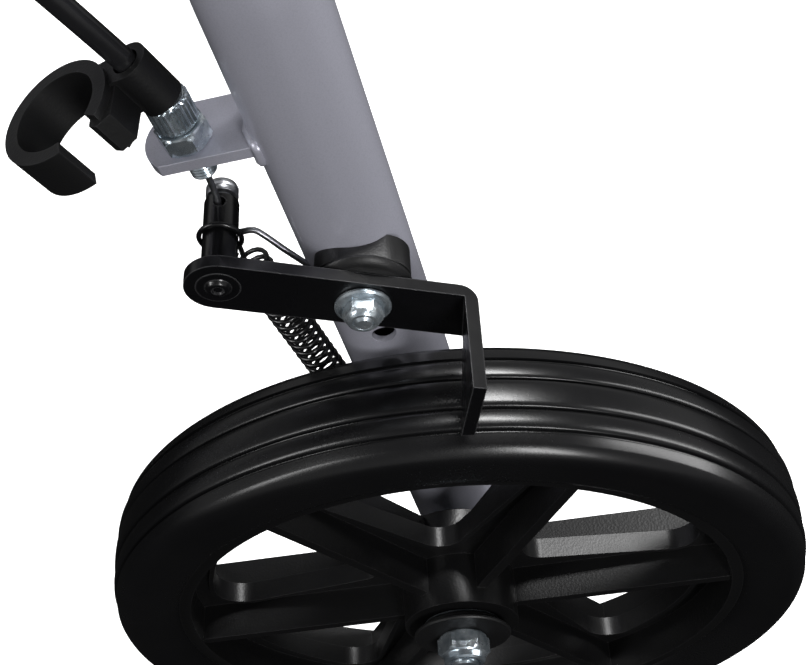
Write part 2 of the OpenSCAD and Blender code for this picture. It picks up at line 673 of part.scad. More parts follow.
// The bar runs back from the anchor pin and bends outboard over the tyre
module brake_arm() color("#1b1b1d") on_arm() {
    back = -26.4;
    bend = 4;
    foot = 11.8;
    tip_y = 15.5;
    difference() {
        union() {
            translate([arm_len, 0, 0]) y_cyl(arm_w / 2, arm_in, arm_out);
            translate([back - 4, arm_in, -arm_w / 2]) cube([arm_len - back + 4, arm_t, arm_w]);
            at_bend(back) translate([0, 0, -foot]) cube([arm_t, tip_y - arm_in, foot + arm_w]);
        }
        translate([back - 8, arm_in - 1, arm_w / 2]) cube([16, 40, arm_w]);
        at_bend(back) {
            translate([-20, -1, -30]) cube([20, 40, 60]);
            translate([-1, -1, -30]) difference() {
                cube([bend + 1, bend + 1, 60]);
                translate([bend + 1, bend + 1, -1]) cylinder(r = bend, h = 62);
            }
            translate([-1, -1, -30]) cube([arm_t + 1, bend + 2, 30 - arm_w / 2 + 0.6]);
        }
        y_cyl(pivot_r + fit, arm_in - 1, arm_out + 1);
        translate([arm_len, 0, 0]) y_cyl(pivot_r + fit, arm_in - 1, arm_out + 1);
    }
}

module anchor_pin() color("#19191b") on_arm() translate([arm_len, 0, 0]) difference() {
    union() {
        y_cyl(pivot_r, arm_in - 1, arm_out - 0.4);
        y_cyl(anchor_d / 2, -36, arm_in - 0.2);
        y_cyl(anchor_d / 2 - 0.6, -37, -36);
        y_cyl(anchor_d / 2 - 0.2, -38.5, -37);
    }
    rotate([0, arm_rise, 0]) translate([0, -leg_gap, -6]) cylinder(r = 1.4, h = 12);
    y_cyl(1.6, arm_out - 1.6, arm_out);
}

module brake_wire() color("#6d7076") at_brake() cord(wire_route, wire_d, 8);

module return_spring() color("#161618") at_brake() {
    pin = [pivot_x + arm_len * cos(arm_rise), -22.5, pivot_z + arm_len * sin(arm_rise)];
    translate([pin[0], 0, pin[2]]) y_ring(anchor_d / 2 + 1.2, anchor_d / 2 + 0.2, -23, -22);
    difference() {
        rod(spring_end, spring_top, spring_d / 2);
        rod(spring_end - unit(spring_top - spring_end), spring_top + unit(spring_top - spring_end), spring_d / 2 - 1);
    }
    rod(spring_top + [3, 0.5, 0], pin - [0.5, 0.2, 4.6], 0.5);
    rod(spring_end + [3.2, 0, 0], spring_stud + [0.6, 0, 2.4], 0.5);
    translate(spring_stud) rotate([0, 90, 0]) ring(2.6, 1.7, 1);
}

rear_hoop();
main_beam();
head_tube();
seat_socket();
brake_tab();
headset_cups();
both_sides(rear_x, rear_track) axle_bolt();  // axle_bolts_rear
both_sides(rear_x, rear_track) axle_nut();  // axle_nuts_rear
both_sides(rear_x, rear_track) axle_washer(leg_lean);  // axle_washers_rear
brake_pivot_bolt();
brake_pivot_nut();
pivot_washers();
cable_adjuster();
adjuster_nut();
cable_clip();
cable_guides();
color("#1b1b1d") cord(frame_route, housing_d);  // housing_frame
at_wheel(rear_x, rear_track, 1) tyre();  // tyre_rear_left
at_wheel(rear_x, rear_track, 1) core();  // core_rear_left
at_wheel(rear_x, rear_track, 1) bearings();  // bearings_rear_left
at_wheel(rear_x, rear_track, -1) tyre();  // tyre_rear_right
at_wheel(rear_x, rear_track, -1) core();  // core_rear_right
at_wheel(rear_x, rear_track, -1) bearings();  // bearings_rear_right
at_wheel(front_x, front_track, 1) tyre();  // tyre_front_left
at_wheel(front_x, front_track, 1) core();  // core_front_left
at_wheel(front_x, front_track, 1) bearings();  // bearings_front_left
at_wheel(front_x, front_track, -1) tyre();  // tyre_front_right
at_wheel(front_x, front_track, -1) core();  // core_front_right
at_wheel(front_x, front_track, -1) bearings();  // bearings_front_right
front_hoop();
steerer();
headset_nut();
fold_clevis();
fold_bolt();
both_sides(front_x, front_track) axle_bolt();  // axle_bolts_front
both_sides(front_x, front_track) axle_nut();  // axle_nuts_front
both_sides(front_x, front_track) axle_washer(0);  // axle_washers_front
color("#1b1b1d") cord(steer_route, housing_d);  // housing_steer
fold_pin();
column_tube();
column_clamp();
clamp_bolt();
color("#1b1b1d") cord(fold_route, housing_d);  // housing_fold
clamp_lever();
stem_tube();
handlebar();
grips();
lever_perch();
color("#1b1b1d") on_column() cord(bar_route, housing_d);  // housing_bar
brake_lever();
park_lock();
seat_post();
seat_plate();
cushion(1);  // cushion_left
cushion(-1);  // cushion_right
seat_pin();
brake_arm();
anchor_pin();
brake_wire();
return_spring();
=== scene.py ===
"""The looks of the knee scooter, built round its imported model.

The file follows the scooter as it is put together: studio, brake cable, frame, wheels, brake,
cable clip, steering and column, handlebar, knee rest. Lengths are in metres, X forward,
Y to the rider's left, Z up.
"""

import json
import math

import bmesh
import bpy
from mathutils import Euler, Matrix, Vector


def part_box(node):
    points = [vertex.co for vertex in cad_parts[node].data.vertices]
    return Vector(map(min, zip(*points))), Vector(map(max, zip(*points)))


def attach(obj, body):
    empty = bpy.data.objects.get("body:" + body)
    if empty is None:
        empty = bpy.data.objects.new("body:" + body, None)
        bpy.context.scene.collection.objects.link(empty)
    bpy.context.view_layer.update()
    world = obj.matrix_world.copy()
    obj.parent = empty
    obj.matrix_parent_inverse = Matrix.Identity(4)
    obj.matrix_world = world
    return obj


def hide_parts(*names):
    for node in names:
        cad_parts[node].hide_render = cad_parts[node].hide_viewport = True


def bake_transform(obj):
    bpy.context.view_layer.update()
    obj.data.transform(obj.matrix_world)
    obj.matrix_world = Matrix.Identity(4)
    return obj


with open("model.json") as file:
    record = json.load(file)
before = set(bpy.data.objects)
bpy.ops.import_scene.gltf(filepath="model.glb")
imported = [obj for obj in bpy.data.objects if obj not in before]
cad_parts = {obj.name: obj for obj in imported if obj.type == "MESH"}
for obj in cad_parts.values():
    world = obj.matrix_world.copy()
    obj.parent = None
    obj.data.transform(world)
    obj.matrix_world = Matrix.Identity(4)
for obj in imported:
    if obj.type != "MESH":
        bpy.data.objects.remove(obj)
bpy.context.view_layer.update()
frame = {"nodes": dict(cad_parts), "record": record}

# ---------------------------------------------------------------- studio
# A pale sweep under soft boxes, dark below the horizon as in a shooting tent. The camera
# stands outside the left rear wheel, close up, and looks steeply down on its brake.


def middle(node):
    low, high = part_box(node)
    return (Vector(low) + Vector(high)) / 2


wheel_centre = middle("tyre_rear_left")


def in_scene(name, data):
    made = bpy.data.objects.new(name, data)
    bpy.context.collection.objects.link(made)
    return made


def camera_at(place, looking, lens, nearest=0.01):
    camera = in_scene("camera", bpy.data.cameras.new("camera"))
    camera.location = place
    camera.rotation_euler = looking.to_track_quat("-Z", "Y").to_euler()
    camera.data.lens = lens
    camera.data.clip_start = nearest
    bpy.context.scene.camera = camera


camera_at(
    place=wheel_centre + Vector((0.0235, 0.1598, 0.353)),
    looking=Vector((-0.0270, -0.5743, -0.8182)),
    lens=56.96,
)


def soft_box(name, place, aim, size, watts):
    light = bpy.data.lights.new(name, "AREA")
    light.shape = "RECTANGLE"
    light.size, light.size_y = size
    light.energy = watts
    lamp = in_scene(name, light)
    lamp.location = place
    lamp.rotation_euler = (Vector(aim) - Vector(place)).to_track_quat("-Z", "Y").to_euler()


soft_box("overhead", (-0.6, -0.5, 1.9), (-0.25, 0.15, 0.2), (0.5, 0.35), 30)
soft_box("left_side", (-0.9, 1.7, 1.1), (-0.25, 0.15, 0.2), (0.35, 0.8), 22)
soft_box("front_strip", (1.3, 0.9, 1.3), (-0.2, 0.1, 0.2), (0.35, 1.3), 17)
soft_box("rear_strip", (-1.7, 0.1, 0.9), (-0.2, 0.1, 0.2), (0.35, 1.1), 13)


def grey(level):
    return (level, level, level, 1)


def tent(above, level, below, backdrop=0.86):
    """The room's light: its strength overhead, at eye level and from under the floor, and the
    pale backdrop that the camera sees behind it."""
    world = bpy.data.worlds.new("tent")
    world.use_nodes = True
    nodes, links = world.node_tree.nodes, world.node_tree.links
    place = nodes.new("ShaderNodeTexCoord")
    split = nodes.new("ShaderNodeSeparateXYZ")
    ramp = nodes.new("ShaderNodeMapRange")
    ramp.inputs["From Min"].default_value = -1
    shade = nodes.new("ShaderNodeValToRGB")
    stops = shade.color_ramp.elements
    stops[0].position, stops[0].color = 0.44, grey(below)
    stops[1].position, stops[1].color = 1.0, grey(above)
    stops.new(0.54).color = grey(level)
    links.new(place.outputs["Generated"], split.inputs[0])
    links.new(split.outputs["Z"], ramp.inputs["Value"])
    links.new(ramp.outputs["Result"], shade.inputs["Fac"])
    seen, mix = nodes.new("ShaderNodeLightPath"), nodes.new("ShaderNodeMix")
    mix.data_type = "RGBA"
    links.new(seen.outputs["Is Camera Ray"], mix.inputs[0])
    links.new(shade.outputs["Color"], mix.inputs[6])
    mix.inputs[7].default_value = grey(backdrop)
    links.new(mix.outputs[2], nodes["Background"].inputs["Color"])
    bpy.context.scene.world = world


tent(above=0.05, level=0.42, below=0.01)
bpy.context.scene.view_settings.view_transform = "Standard"

# ---------------------------------------------------------------- brake cable
# A steel inner wire in a black plastic housing, 5 mm over its sleeve. It is clipped along the
# beam, loops past the fork and the fold hinge, and follows the column up to the brake lever.


mm = 0.001
slot_of_node = {s["node"]: s["material_slot"] for s in frame["record"]["subparts"]}


class Flow:
    """A value on its way through a finish's nodes. Sums and products add Math nodes."""

    def __init__(self, finish, socket):
        self.finish, self.socket = finish, socket

    def math(self, operation, *values):
        return self.finish.node(
            "ShaderNodeMath", {"operation": operation}, dict(enumerate(values)))

    def __add__(self, other):
        return self.math("ADD", self, other)

    def __rsub__(self, other):
        return self.math("SUBTRACT", other, self)

    def __mul__(self, other):
        return self.math("MULTIPLY", self, other)

    __radd__, __rmul__ = __add__, __mul__


class Finish:
    """A material that is built up node by node round one shader."""

    def __init__(self, name, colour, roughness, **sockets):
        self.material = bpy.data.materials.new(name)
        self.material.use_nodes = True
        self.tree = self.material.node_tree
        self.shader = self.tree.nodes["Principled BSDF"]
        self.place = self.node("ShaderNodeTexCoord", output="Object")
        self.set("Base Color", (*colour, 1))
        self.set("Roughness", roughness)
        for socket, value in sockets.items():
            self.set(socket.replace("_", " "), value)

    def node(self, kind, settings=None, sockets=None, output=0):
        made = self.tree.nodes.new(kind)
        for name, value in (settings or {}).items():
            if name == "stops":
                for stop, (at, shade) in zip(made.color_ramp.elements, value):
                    stop.position, stop.color = at, grey(shade)
            else:
                setattr(made, name, value)
        for name, value in (sockets or {}).items():
            self.feed(made.inputs[name], value)
        return Flow(self, made.outputs[output])

    def feed(self, socket, value):
        if isinstance(value, Flow):
            self.tree.links.new(value.socket, socket)
        else:
            socket.default_value = value

    def set(self, name, value):
        self.feed(self.shader.inputs[name], value)

    def noise(self, scale, detail=2.0):
        return self.node(
            "ShaderNodeTexNoise", None,
            {"Vector": self.place, "Scale": scale, "Detail": detail}, "Fac")

    def cells(self, scale, **settings):
        return self.node(
            "ShaderNodeTexVoronoi", settings, {"Vector": self.place, "Scale": scale}, "Distance")

    def ramp(self, value, low, high):
        return self.node(
            "ShaderNodeValToRGB", {"stops": [(low, 0.0), (high, 1.0)]}, {"Fac": value})

    def edges(self, radius=0.0006):
        """1 where the surface turns over an edge, 0 on the flat."""
        rounded = self.node("ShaderNodeBevel", {"samples": 4}, {"Radius": radius})
        flat = self.node("ShaderNodeNewGeometry", output="Normal")
        turned = self.node("ShaderNodeVectorMath", {"operation": "DOT_PRODUCT"},
                           {0: rounded, 1: flat}, "Value")
        return self.ramp(1.0 - turned, 0.02, 0.2)

    def blend(self, amount, low, high):
        return self.node(
            "ShaderNodeMix", {"data_type": "RGBA"}, {0: amount, 6: (*low, 1), 7: (*high, 1)}, 2)

    def bump(self, height, distance, strength=1.0):
        self.set("Normal", self.node(
            "ShaderNodeBump", None, {"Height": height, "Distance": distance, "Strength": strength},
            "Normal"))


def as_it_stands(piece):
    """The mesh that an object's modifiers make of it."""
    bpy.context.view_layer.update()
    return bpy.data.meshes.new_from_object(
        piece.evaluated_get(bpy.context.evaluated_depsgraph_get()))


def made_plain(piece):
    """The same mesh, and the object goes."""
    mesh = as_it_stands(piece)
    bpy.data.objects.remove(piece)
    return mesh


class Pattern:
    """A Geometry Nodes tree with named inputs, run once on a mesh and then made plain."""

    kinds = {float: "NodeSocketFloat", int: "NodeSocketInt"}

    def __init__(self, name, **inputs):
        self.tree = bpy.data.node_groups.new(name, "GeometryNodeTree")
        sockets = self.tree.interface
        sockets.new_socket("Geometry", in_out="INPUT", socket_type="NodeSocketGeometry")
        sockets.new_socket("Geometry", in_out="OUTPUT", socket_type="NodeSocketGeometry")
        self.inputs = dict(inputs)
        self.names = {
            label: sockets.new_socket(
                label, in_out="INPUT", socket_type=self.kinds[type(value)]).identifier
            for label, value in inputs.items()
        }
        self.names["finish"] = sockets.new_socket(
            "finish", in_out="INPUT", socket_type="NodeSocketMaterial").identifier
        self.given = self.tree.nodes.new("NodeGroupInput").outputs

    def node(self, kind, sockets=None, settings=None, output=0):
        made = self.tree.nodes.new(kind)
        for name, value in (settings or {}).items():
            setattr(made, name, value)
        for name, value in (sockets or {}).items():
            if isinstance(value, bpy.types.NodeSocket):
                self.tree.links.new(value, made.inputs[name])
            else:
                made.inputs[name].default_value = value
        return made.outputs[output]

    def math(self, operation, *values):
        return self.node("ShaderNodeMath", dict(enumerate(values)), {"operation": operation})

    def end(self, geometry):
        smooth = self.node("GeometryNodeSetShadeSmooth", {"Geometry": geometry})
        plain = self.node("GeometryNodeRealizeInstances", {"Geometry": smooth})
        painted = self.node(
            "GeometryNodeSetMaterial", {"Geometry": plain, "Material": self.given["finish"]})
        self.tree.links.new(painted, self.tree.nodes.new("NodeGroupOutput").inputs[0])

    def run(self, mesh, finish, place=None, **values):
        """The plain mesh that the tree makes of a mesh."""
        source = in_scene("source", mesh)
        grown = source.modifiers.new("pattern", "NODES")
        grown.node_group = self.tree
        for label, value in {**self.inputs, **values}.items():
            grown[self.names[label]] = value
        grown[self.names["finish"]] = finish
        made = made_plain(source)
        if place is not None:
            made.transform(place)
        return made


def tube_pattern():
    """A round tube along a line of points, its radius rippling as a weld bead's does."""
    tube = Pattern("tube_along_path", radius=0.0025, sides=16, ripple=0.0, pitch=0.002)
    line = tube.node("GeometryNodeMeshToCurve", {"Mesh": tube.given["Geometry"]})
    along = tube.node("GeometryNodeSplineParameter", output="Length")
    turns = tube.math("MULTIPLY", tube.math("DIVIDE", along, tube.given["pitch"]), math.tau)
    wave = tube.math("MULTIPLY", tube.math("SINE", turns), tube.given["ripple"])
    swell = tube.math("ADD", wave, 1)
    line = tube.node("GeometryNodeSetCurveRadius", {"Curve": line, "Radius": swell})
    ring = tube.node("GeometryNodeCurvePrimitiveCircle",
                     {"Resolution": tube.given["sides"], "Radius": tube.given["radius"]})
    tube.end(tube.node("GeometryNodeCurveToMesh",
                       {"Curve": line, "Profile Curve": ring, "Fill Caps": True}))
    return tube


tubes = tube_pattern()


def line_mesh(points, closed=False):
    """A mesh that is only a line through points."""
    count = len(points)
    ends = count if closed else count - 1
    mesh = bpy.data.meshes.new("line")
    mesh.from_pydata([tuple(p) for p in points], [(i, (i + 1) % count) for i in range(ends)], [])
    return mesh


def eased(points, times):
    """The points, with more between them on the same smooth curve."""
    points = [Vector(p) for p in points]
    for _ in range(times):
        last = len(points) - 1
        longer = []
        for i in range(last):
            before, after = points[max(i - 1, 0)], points[min(i + 2, last)]
            longer += [points[i], (9 * (points[i] + points[i + 1]) - before - after) / 16]
        points = longer + [points[last]]
    return points


def finished(name, mesh, finish, body=None, nodes=(), crease=None, tidy=True):
    """A piece from a mesh: doubles merged, faces outward, on its body, for its CAD nodes."""
    if tidy:
        shape = bmesh.new()
        shape.from_mesh(mesh)
        bmesh.ops.remove_doubles(shape, verts=shape.verts, dist=2e-6)
        bmesh.ops.recalc_face_normals(shape, faces=shape.faces)
        shape.to_mesh(mesh)
        shape.free()
    if crease is not None:
        mesh.shade_smooth()
        mesh.set_sharp_from_angle(angle=math.radians(crease))
    mesh.materials.clear()
    mesh.materials.append(finish)
    piece = in_scene(name, mesh)
    if body:
        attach(piece, body)
    if nodes:
        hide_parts(*nodes)
    return piece


def cable_sleeve():
    sleeve = Finish("cable_sleeve", (0.010, 0.010, 0.011), 0.24, Specular_IOR_Level=0.5)
    sleeve.set("Roughness", sleeve.noise(90, 3.0) * 0.16 + 0.15)
    sleeve.bump(sleeve.noise(700, 2.0), 0.00004, 0.35)
    return sleeve.material


sleeve_finish = cable_sleeve()
housing_r = 2.5 * mm
wire_r = 0.75 * mm
fold_axis = Vector((0.28, 0, 0.545))
column_lean = math.radians(12)
column_place = Matrix.Translation(fold_axis) @ Matrix.Rotation(-column_lean, 4, "Y")


def housing(name, route, node, bodies, place=None):
    """A stretch of housing: on one body, or turning from one to the next."""
    points = eased([Vector(p) * mm for p in route], 3)
    if place is not None:
        points = [place @ p for p in points]
    mesh = tubes.run(line_mesh(points), sleeve_finish, radius=housing_r, sides=20)
    if len(bodies) == 1:
        return finished(name, mesh, sleeve_finish, bodies[0], [node])
    piece = finished(name, mesh, sleeve_finish, None, [node])
    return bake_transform(piece)


housing("cable_on_frame", [
    (-216.5, 166.3, 268.8), (-210.4, 166.3, 279.4), (-199.6, 166.3, 296), (-187, 165, 313),
    (-168, 157, 331), (-143, 135, 344), (-114, 97, 349), (-85, 56, 348), (-56, 33, 345.5),
    (-30, 28, 345), (40, 28, 345), (110, 28, 345), (180, 28, 345), (234.5, 28, 345)],
    "housing_frame", ["frame"])
housing("cable_at_fork", [
    (235.5, 28, 345), (249, 31, 352), (262, 36, 372), (270, 38, 400), (276, 35, 430),
    (279, 29, 462), (280, 25.2, 486), (280, 24.6, 498), (280, 24.6, 507)],
    "housing_steer", ["frame", "steering"])
housing("cable_at_fold", [
    (280, 24.6, 508), (282, 25.5, 519), (288, 30, 536), (290, 33, 553), (285, 31, 568),
    (277, 25, 581), (270.5, 20.8, 591), (268.3, 20.4, 600.3)],
    "housing_fold", ["steering", "column"])
housing("cable_on_column", [
    (0, 20.4, 57.5), (0, 20.4, 75), (2, 22, 110), (8, 24, 150), (15, 25, 190), (22, 24, 235),
    (28, 21, 280), (32, 18, 318), (33.5, 18, 340), (34, 20.5, 357), (33, 25.5, 371), (31, 32, 380),
    (30, 37.5, 383), (30, 43.5, 383)],
    "housing_bar", ["column", "handlebar"], column_place)


def wire_steel():
    wire = Finish("grey_wire", (0.30, 0.31, 0.33), 0.34, Metallic=1.0)
    strands = wire.noise(900, 3.0)
    wire.set("Base Color", wire.blend(strands, (0.26, 0.27, 0.29), (0.60, 0.61, 0.64)))
    wire.set("Roughness", strands * 0.25 + 0.22)
    wire.bump(strands, 0.00008, 0.6)
    return wire.material


wire_finish = wire_steel()
brake_place = Matrix.Translation(wheel_centre)

# From here to the brake, places beside the wheel are in millimetres from its middle. The leg
# stands leg_y from it, and the wire comes down out of the adjuster in line with the leg, goes
# through the anchor pin's cross hole, and its trimmed tail leaves over the arm.
leg_y = -29.7
adjuster_at = Vector((57.7, leg_y, 146.7))
wire_at_pin = Vector((55.9, leg_y, 132.7))
wire_route = [
    (59.4, leg_y, 152), adjuster_at, (56.4, leg_y, 139), wire_at_pin,
    (55.2, -29.6, 128.4), (53.4, -28.6, 127.2), (51.2, -27.2, 128.9), (48.2, -27, 129.1),
    (43, -25, 125.5), (38.6, -23.4, 122.4), (35.8, -22.4, 120.6)]
wire_points = [brake_place @ p for p in eased([Vector(p) * mm for p in wire_route], 3)]
inner_wire = finished(
    "inner_wire", tubes.run(line_mesh(wire_points), wire_finish, radius=wire_r, sides=12),
    wire_finish, None, ["brake_wire"])
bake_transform(inner_wire)

# ---------------------------------------------------------------- frame
# Round steel tube, bent, coped and welded: a hoop over the rear wheels, a straight beam, the
# head tube and the seat socket. One coat of lilac-grey metallic powder under a thin lacquer.

cad = frame["nodes"]
body_of_node = {
    node: body for body, held in frame["record"]["behaviour"]["bodies"].items() for node in held
}
sharp_turn = math.radians(38)


def frame_paint():
    paint = Finish("lilac_grey_paint", (0.2, 0.2, 0.24), 0.36, Metallic=0.4, Coat_Weight=0.45,
                   Coat_Roughness=0.18)
    flake = paint.cells(3000)
    drift = paint.noise(16)
    paint.set("Base Color", paint.blend(
        flake * 0.6 + drift * 0.4, (0.46, 0.46, 0.53), (0.36, 0.36, 0.42)))
    paint.set("Roughness", flake * 0.14 + drift * 0.10 + 0.27)
    paint.bump(paint.noise(330, 1.5), 0.00008, 0.4)
    return paint.material


finish_of_slot = {"frame_paint": frame_paint(), "wire": wire_finish, "housing": sleeve_finish}


def broken_edges(block, width, steps):
    bevel = block.modifiers.new("edges", "BEVEL")
    bevel.width, bevel.segments = width, steps
    bevel.limit_method, bevel.angle_limit = "ANGLE", sharp_turn


def softened(node, width, name=None, steps=2):
    """A copy of a CAD part with its doubles merged and its hard edges broken."""
    mesh = cad[node].data.copy()
    shape = bmesh.new()
    shape.from_mesh(mesh)
    bmesh.ops.remove_doubles(shape, verts=shape.verts, dist=1e-6)
    bmesh.ops.dissolve_limit(
        shape, angle_limit=math.radians(0.5), verts=shape.verts, edges=shape.edges)
    shape.to_mesh(mesh)
    shape.free()
    mesh.shade_smooth()
    if width:
        blank = in_scene("blank", mesh)
        broken_edges(blank, width, steps)
        blank.modifiers.new("flats", "WEIGHTED_NORMAL").keep_sharp = True
        mesh = made_plain(blank)
    else:
        mesh.set_sharp_from_angle(angle=sharp_turn)
    return finished(name or node + "_part", mesh, finish_of_slot[slot_of_node[node]],
                    body_of_node[node], [node], tidy=False)


def arc(centre, radius, start, end, count):
    """Points round a centre in a plane, between two angles in degrees."""
    return [(centre[0] + radius * math.cos(math.radians(a)),
             centre[1] + radius * math.sin(math.radians(a)))
            for a in (start + (end - start) * i / count for i in range(count + 1))]


def turned(rings, count=72, place=None, shape=None, closed=False):
    """A turned or hexagonal piece: rings of (height, radius[, across flats]) up its own Z."""
    shape = shape or bmesh.new()
    place = place or Matrix.Identity(4)
    loops = []
    for height, radius, *flats in rings:
        loop = []
        for i in range(count):
            a = math.tau * i / count
            reach = radius
            if flats:
                reach = min(radius, flats[0] / 2 / math.cos((a % (math.pi / 3)) - math.pi / 6))
            at = Vector((reach * math.cos(a), reach * math.sin(a), height)) * mm
            loop.append(shape.verts.new(place @ at))
        loops.append(loop)
    pairs = list(zip(loops, loops[1:]))
    if closed:
        pairs.append((loops[-1], loops[0]))
    for low, high in pairs:
        for i in range(count):
            j = (i + 1) % count
            shape.faces.new((low[i], low[j], high[j], high[i]))
    if not closed:
        for loop, (height, *_) in ((loops[0], rings[0]), (loops[-1], rings[-1])):
            hub = shape.verts.new(place @ (Vector((0, 0, height)) * mm))
            for i in range(count):
                shape.faces.new((loop[i], loop[(i + 1) % count], hub))
    return shape


def as_mesh(shape):
    mesh = bpy.data.meshes.new("made")
    bmesh.ops.remove_doubles(shape, verts=shape.verts, dist=1e-7)
    bmesh.ops.recalc_face_normals(shape, faces=shape.faces)
    shape.to_mesh(mesh)
    shape.free()
    return mesh


def turned_piece(name, rings, count, place, slot, body, nodes=(), crease=40, closed=False):
    return finished(name, as_mesh(turned(rings, count, place, closed=closed)),
                    finish_of_slot[slot], body, nodes, crease=crease)


def prism(outline, low, high, place):
    """A plate or block: an outline of (x, y) points drawn up from one height to another."""
    shape = bmesh.new()
    rows = [[shape.verts.new(place @ (Vector((x, y, z)) * mm)) for x, y in outline]
            for z in (low, high)]
    for i in range(len(outline)):
        j = (i + 1) % len(outline)
        shape.faces.new((rows[0][i], rows[0][j], rows[1][j], rows[1][i]))
    for row in rows:
        shape.faces.new(row)
    return as_mesh(shape)


def carved(base, added=(), cut=(), width=0.0, steps=2):
    """One solid from several: some joined on, some cut away, then its edges broken."""
    block = in_scene("block", base)
    tools = []
    for operation, meshes in (("UNION", added), ("DIFFERENCE", cut)):
        for mesh in meshes:
            tools.append(in_scene("tool", mesh))
            step = block.modifiers.new("step", "BOOLEAN")
            step.operation, step.object, step.solver = operation, tools[-1], "EXACT"
    if width:
        broken_edges(block, width, steps)
    mesh = made_plain(block)
    for tool in tools:
        bpy.data.objects.remove(tool)
    return mesh


def hoop_line(half, rise, foot, bend=50):
    """The axis of a hoop over its axle line: a leg, a bend, the crossbar, a bend, a leg."""
    half_line = [(0, half, z) for z in (-foot, 0, (rise - bend) / 2)]
    half_line += [(0, y, z) for y, z in arc((half - bend, rise - bend), bend, 0, 90, 14)]
    other = [(0, -y, z) for _, y, z in reversed(half_line)]
    return [Vector(p) * mm for p in half_line + other]


leg_lean = math.radians(12)
leg_axis = Vector((math.sin(leg_lean), 0, math.cos(leg_lean)))
leg_foot = wheel_centre + Vector((0, leg_y, 0)) * mm
leg_r, leg_bore_r = 12.7 * mm, 10.9 * mm
rear_x, front_x, beam_z, axle_z = -280, 280, 345, 100
rear_half, front_half, front_rise = 166.3, 110.3, 145


def hoop(node, place, half, rise, holes=()):
    """A hollow hoop, bent from one tube, with the holes that show."""
    paint = finish_of_slot["frame_paint"]
    outer, inner = (
        tubes.run(line_mesh(hoop_line(half, rise, foot)), paint, place, radius=radius, sides=80)
        for foot, radius in ((16, leg_r), (13, leg_bore_r)))
    finished(f"{node}_tube", carved(outer, cut=[inner, *holes]), paint, body_of_node[node],
             [node], crease=38)


spare_hole = as_mesh(turned([(leg_y, 3), (0, 3)], 32, brake_place @ Matrix.Translation(
    Vector((20.1, 0, 100.4)) * mm) @ Matrix.Rotation(-math.pi / 2, 4, "X")))
hoop("rear_hoop", Matrix.Translation(Vector((rear_x, 0, axle_z)) * mm) @
     Matrix.Rotation(leg_lean, 4, "Y"), rear_half, (beam_z - axle_z) / math.cos(leg_lean),
     [spare_hole])
softened("head_tube", 0)
for node in ("main_beam", "seat_socket"):
    softened(node, 0.5 * mm)
softened("brake_tab", 0.7 * mm, steps=3)


def onto_tube(points, direction, start, axis, radius):
    """Where lines from the points along a direction first meet a tube's outside."""
    axis, direction, start = Vector(axis).normalized(), Vector(direction), Vector(start)
    across = direction - axis * direction.dot(axis)
    met = []
    for point in points:
        off = Vector(point) - start
        off -= axis * off.dot(axis)
        a, b, c = across.dot(across), 2 * off.dot(across), off.dot(off) - radius**2
        under = b * b - 4 * a * c
        if under > 0:
            met.append(Vector(point) + direction * ((-b - math.sqrt(under)) / (2 * a)))
    return met


def weld(name, path, body, radius=1.5 * mm, closed=True):
    """A painted bead: a tube along the joint that swells with each drop."""
    path = path if closed else eased(path, 1)
    mesh = tubes.run(line_mesh(path, closed), finish_of_slot["frame_paint"], radius=radius,
                     sides=10, ripple=0.14, pitch=1.9 * mm)
    return finished(name, mesh, finish_of_slot["frame_paint"], body)


def level_ring(x, z, half_x, half_y, count=90):
    """A flat ring or oval of points round a place on the scooter's middle plane."""
    return [Vector((x + half_x * math.cos(a), half_y * math.sin(a), z))
            for a in (math.tau * i / count for i in range(count))]


tab_lean = math.radians(14)
adjuster_place = brake_place @ Matrix.Translation(adjuster_at * mm) @ \
    Matrix.Rotation(tab_lean, 4, "Y")
tab_outline = []
for y, z, turn in ((6.1, 10, 0), (-11.1, 10, 1), (-11.1, 7, 2), (6.1, 7, 3)):
    for step in range(5):
        a = math.radians(90 * turn + 22.5 * step)
        tab_outline.append((y + 0.9 * math.cos(a), z + 0.9 * math.sin(a)))
tab_root = []
for (y0, z0), (y1, z1) in zip(tab_outline, tab_outline[1:] + tab_outline[:1]):
    for t in (0, 0.25, 0.5, 0.75):
        tab_root.append(adjuster_place @ (Vector((0, y0 + (y1 - y0) * t, z0 + (z1 - z0) * t)) * mm))
weld("weld_tab", onto_tube(tab_root, adjuster_place.to_3x3() @ Vector((-1, 0, 0)), leg_foot,
                           leg_axis, leg_r), "frame", 1.3 * mm)

beam_r, beam_up, front_at = 22.25 * mm, beam_z * mm, front_x * mm
socket_x, socket_r = -70 * mm, 16.55 * mm
for name, side in (("weld_socket_top", 1), ("weld_socket_low", -1)):
    above = level_ring(socket_x, beam_up + 0.1 * side, socket_r, socket_r)
    weld(name, onto_tube(above, (0, 0, -side), (0, 0, beam_up), (1, 0, 0), beam_r), "frame")
head_r, beam_in_head = 20 * mm, 19.2 * mm
around_head = [Vector((0, beam_in_head * math.sin(a), beam_up + beam_r * math.cos(a)))
               for a in (math.tau * i / 90 for i in range(90))]
weld("weld_head", onto_tube(around_head, (1, 0, 0), (front_at, 0, 0), (0, 0, 1), head_r), "frame")
hoop_top_x = rear_x * mm + (beam_up - 0.1) * math.tan(leg_lean)
for name, side in (("weld_hoop_left", 1), ("weld_hoop_right", -1)):
    edge = [Vector((0, side * 22.3 * mm, beam_up + z * mm)) for z in range(-11, 12, 2)]
    weld(name, onto_tube(edge, (-1, 0, 0), (hoop_top_x, 0, beam_up), (0, 1, 0), leg_r), "frame",
         closed=False)

# ---------------------------------------------------------------- wheels
# Solid rubber tyres, 200 mm over the tread, moulded on glass-filled nylon cores with six deep
# ribs. Four shallow grooves run round the smooth tread, and each hub holds two bearings.


def facing(place, side=1):
    """A place whose own Z points outboard along the axle."""
    return Matrix.Translation(place) @ Matrix.Rotation(-side * math.pi / 2, 4, "X")


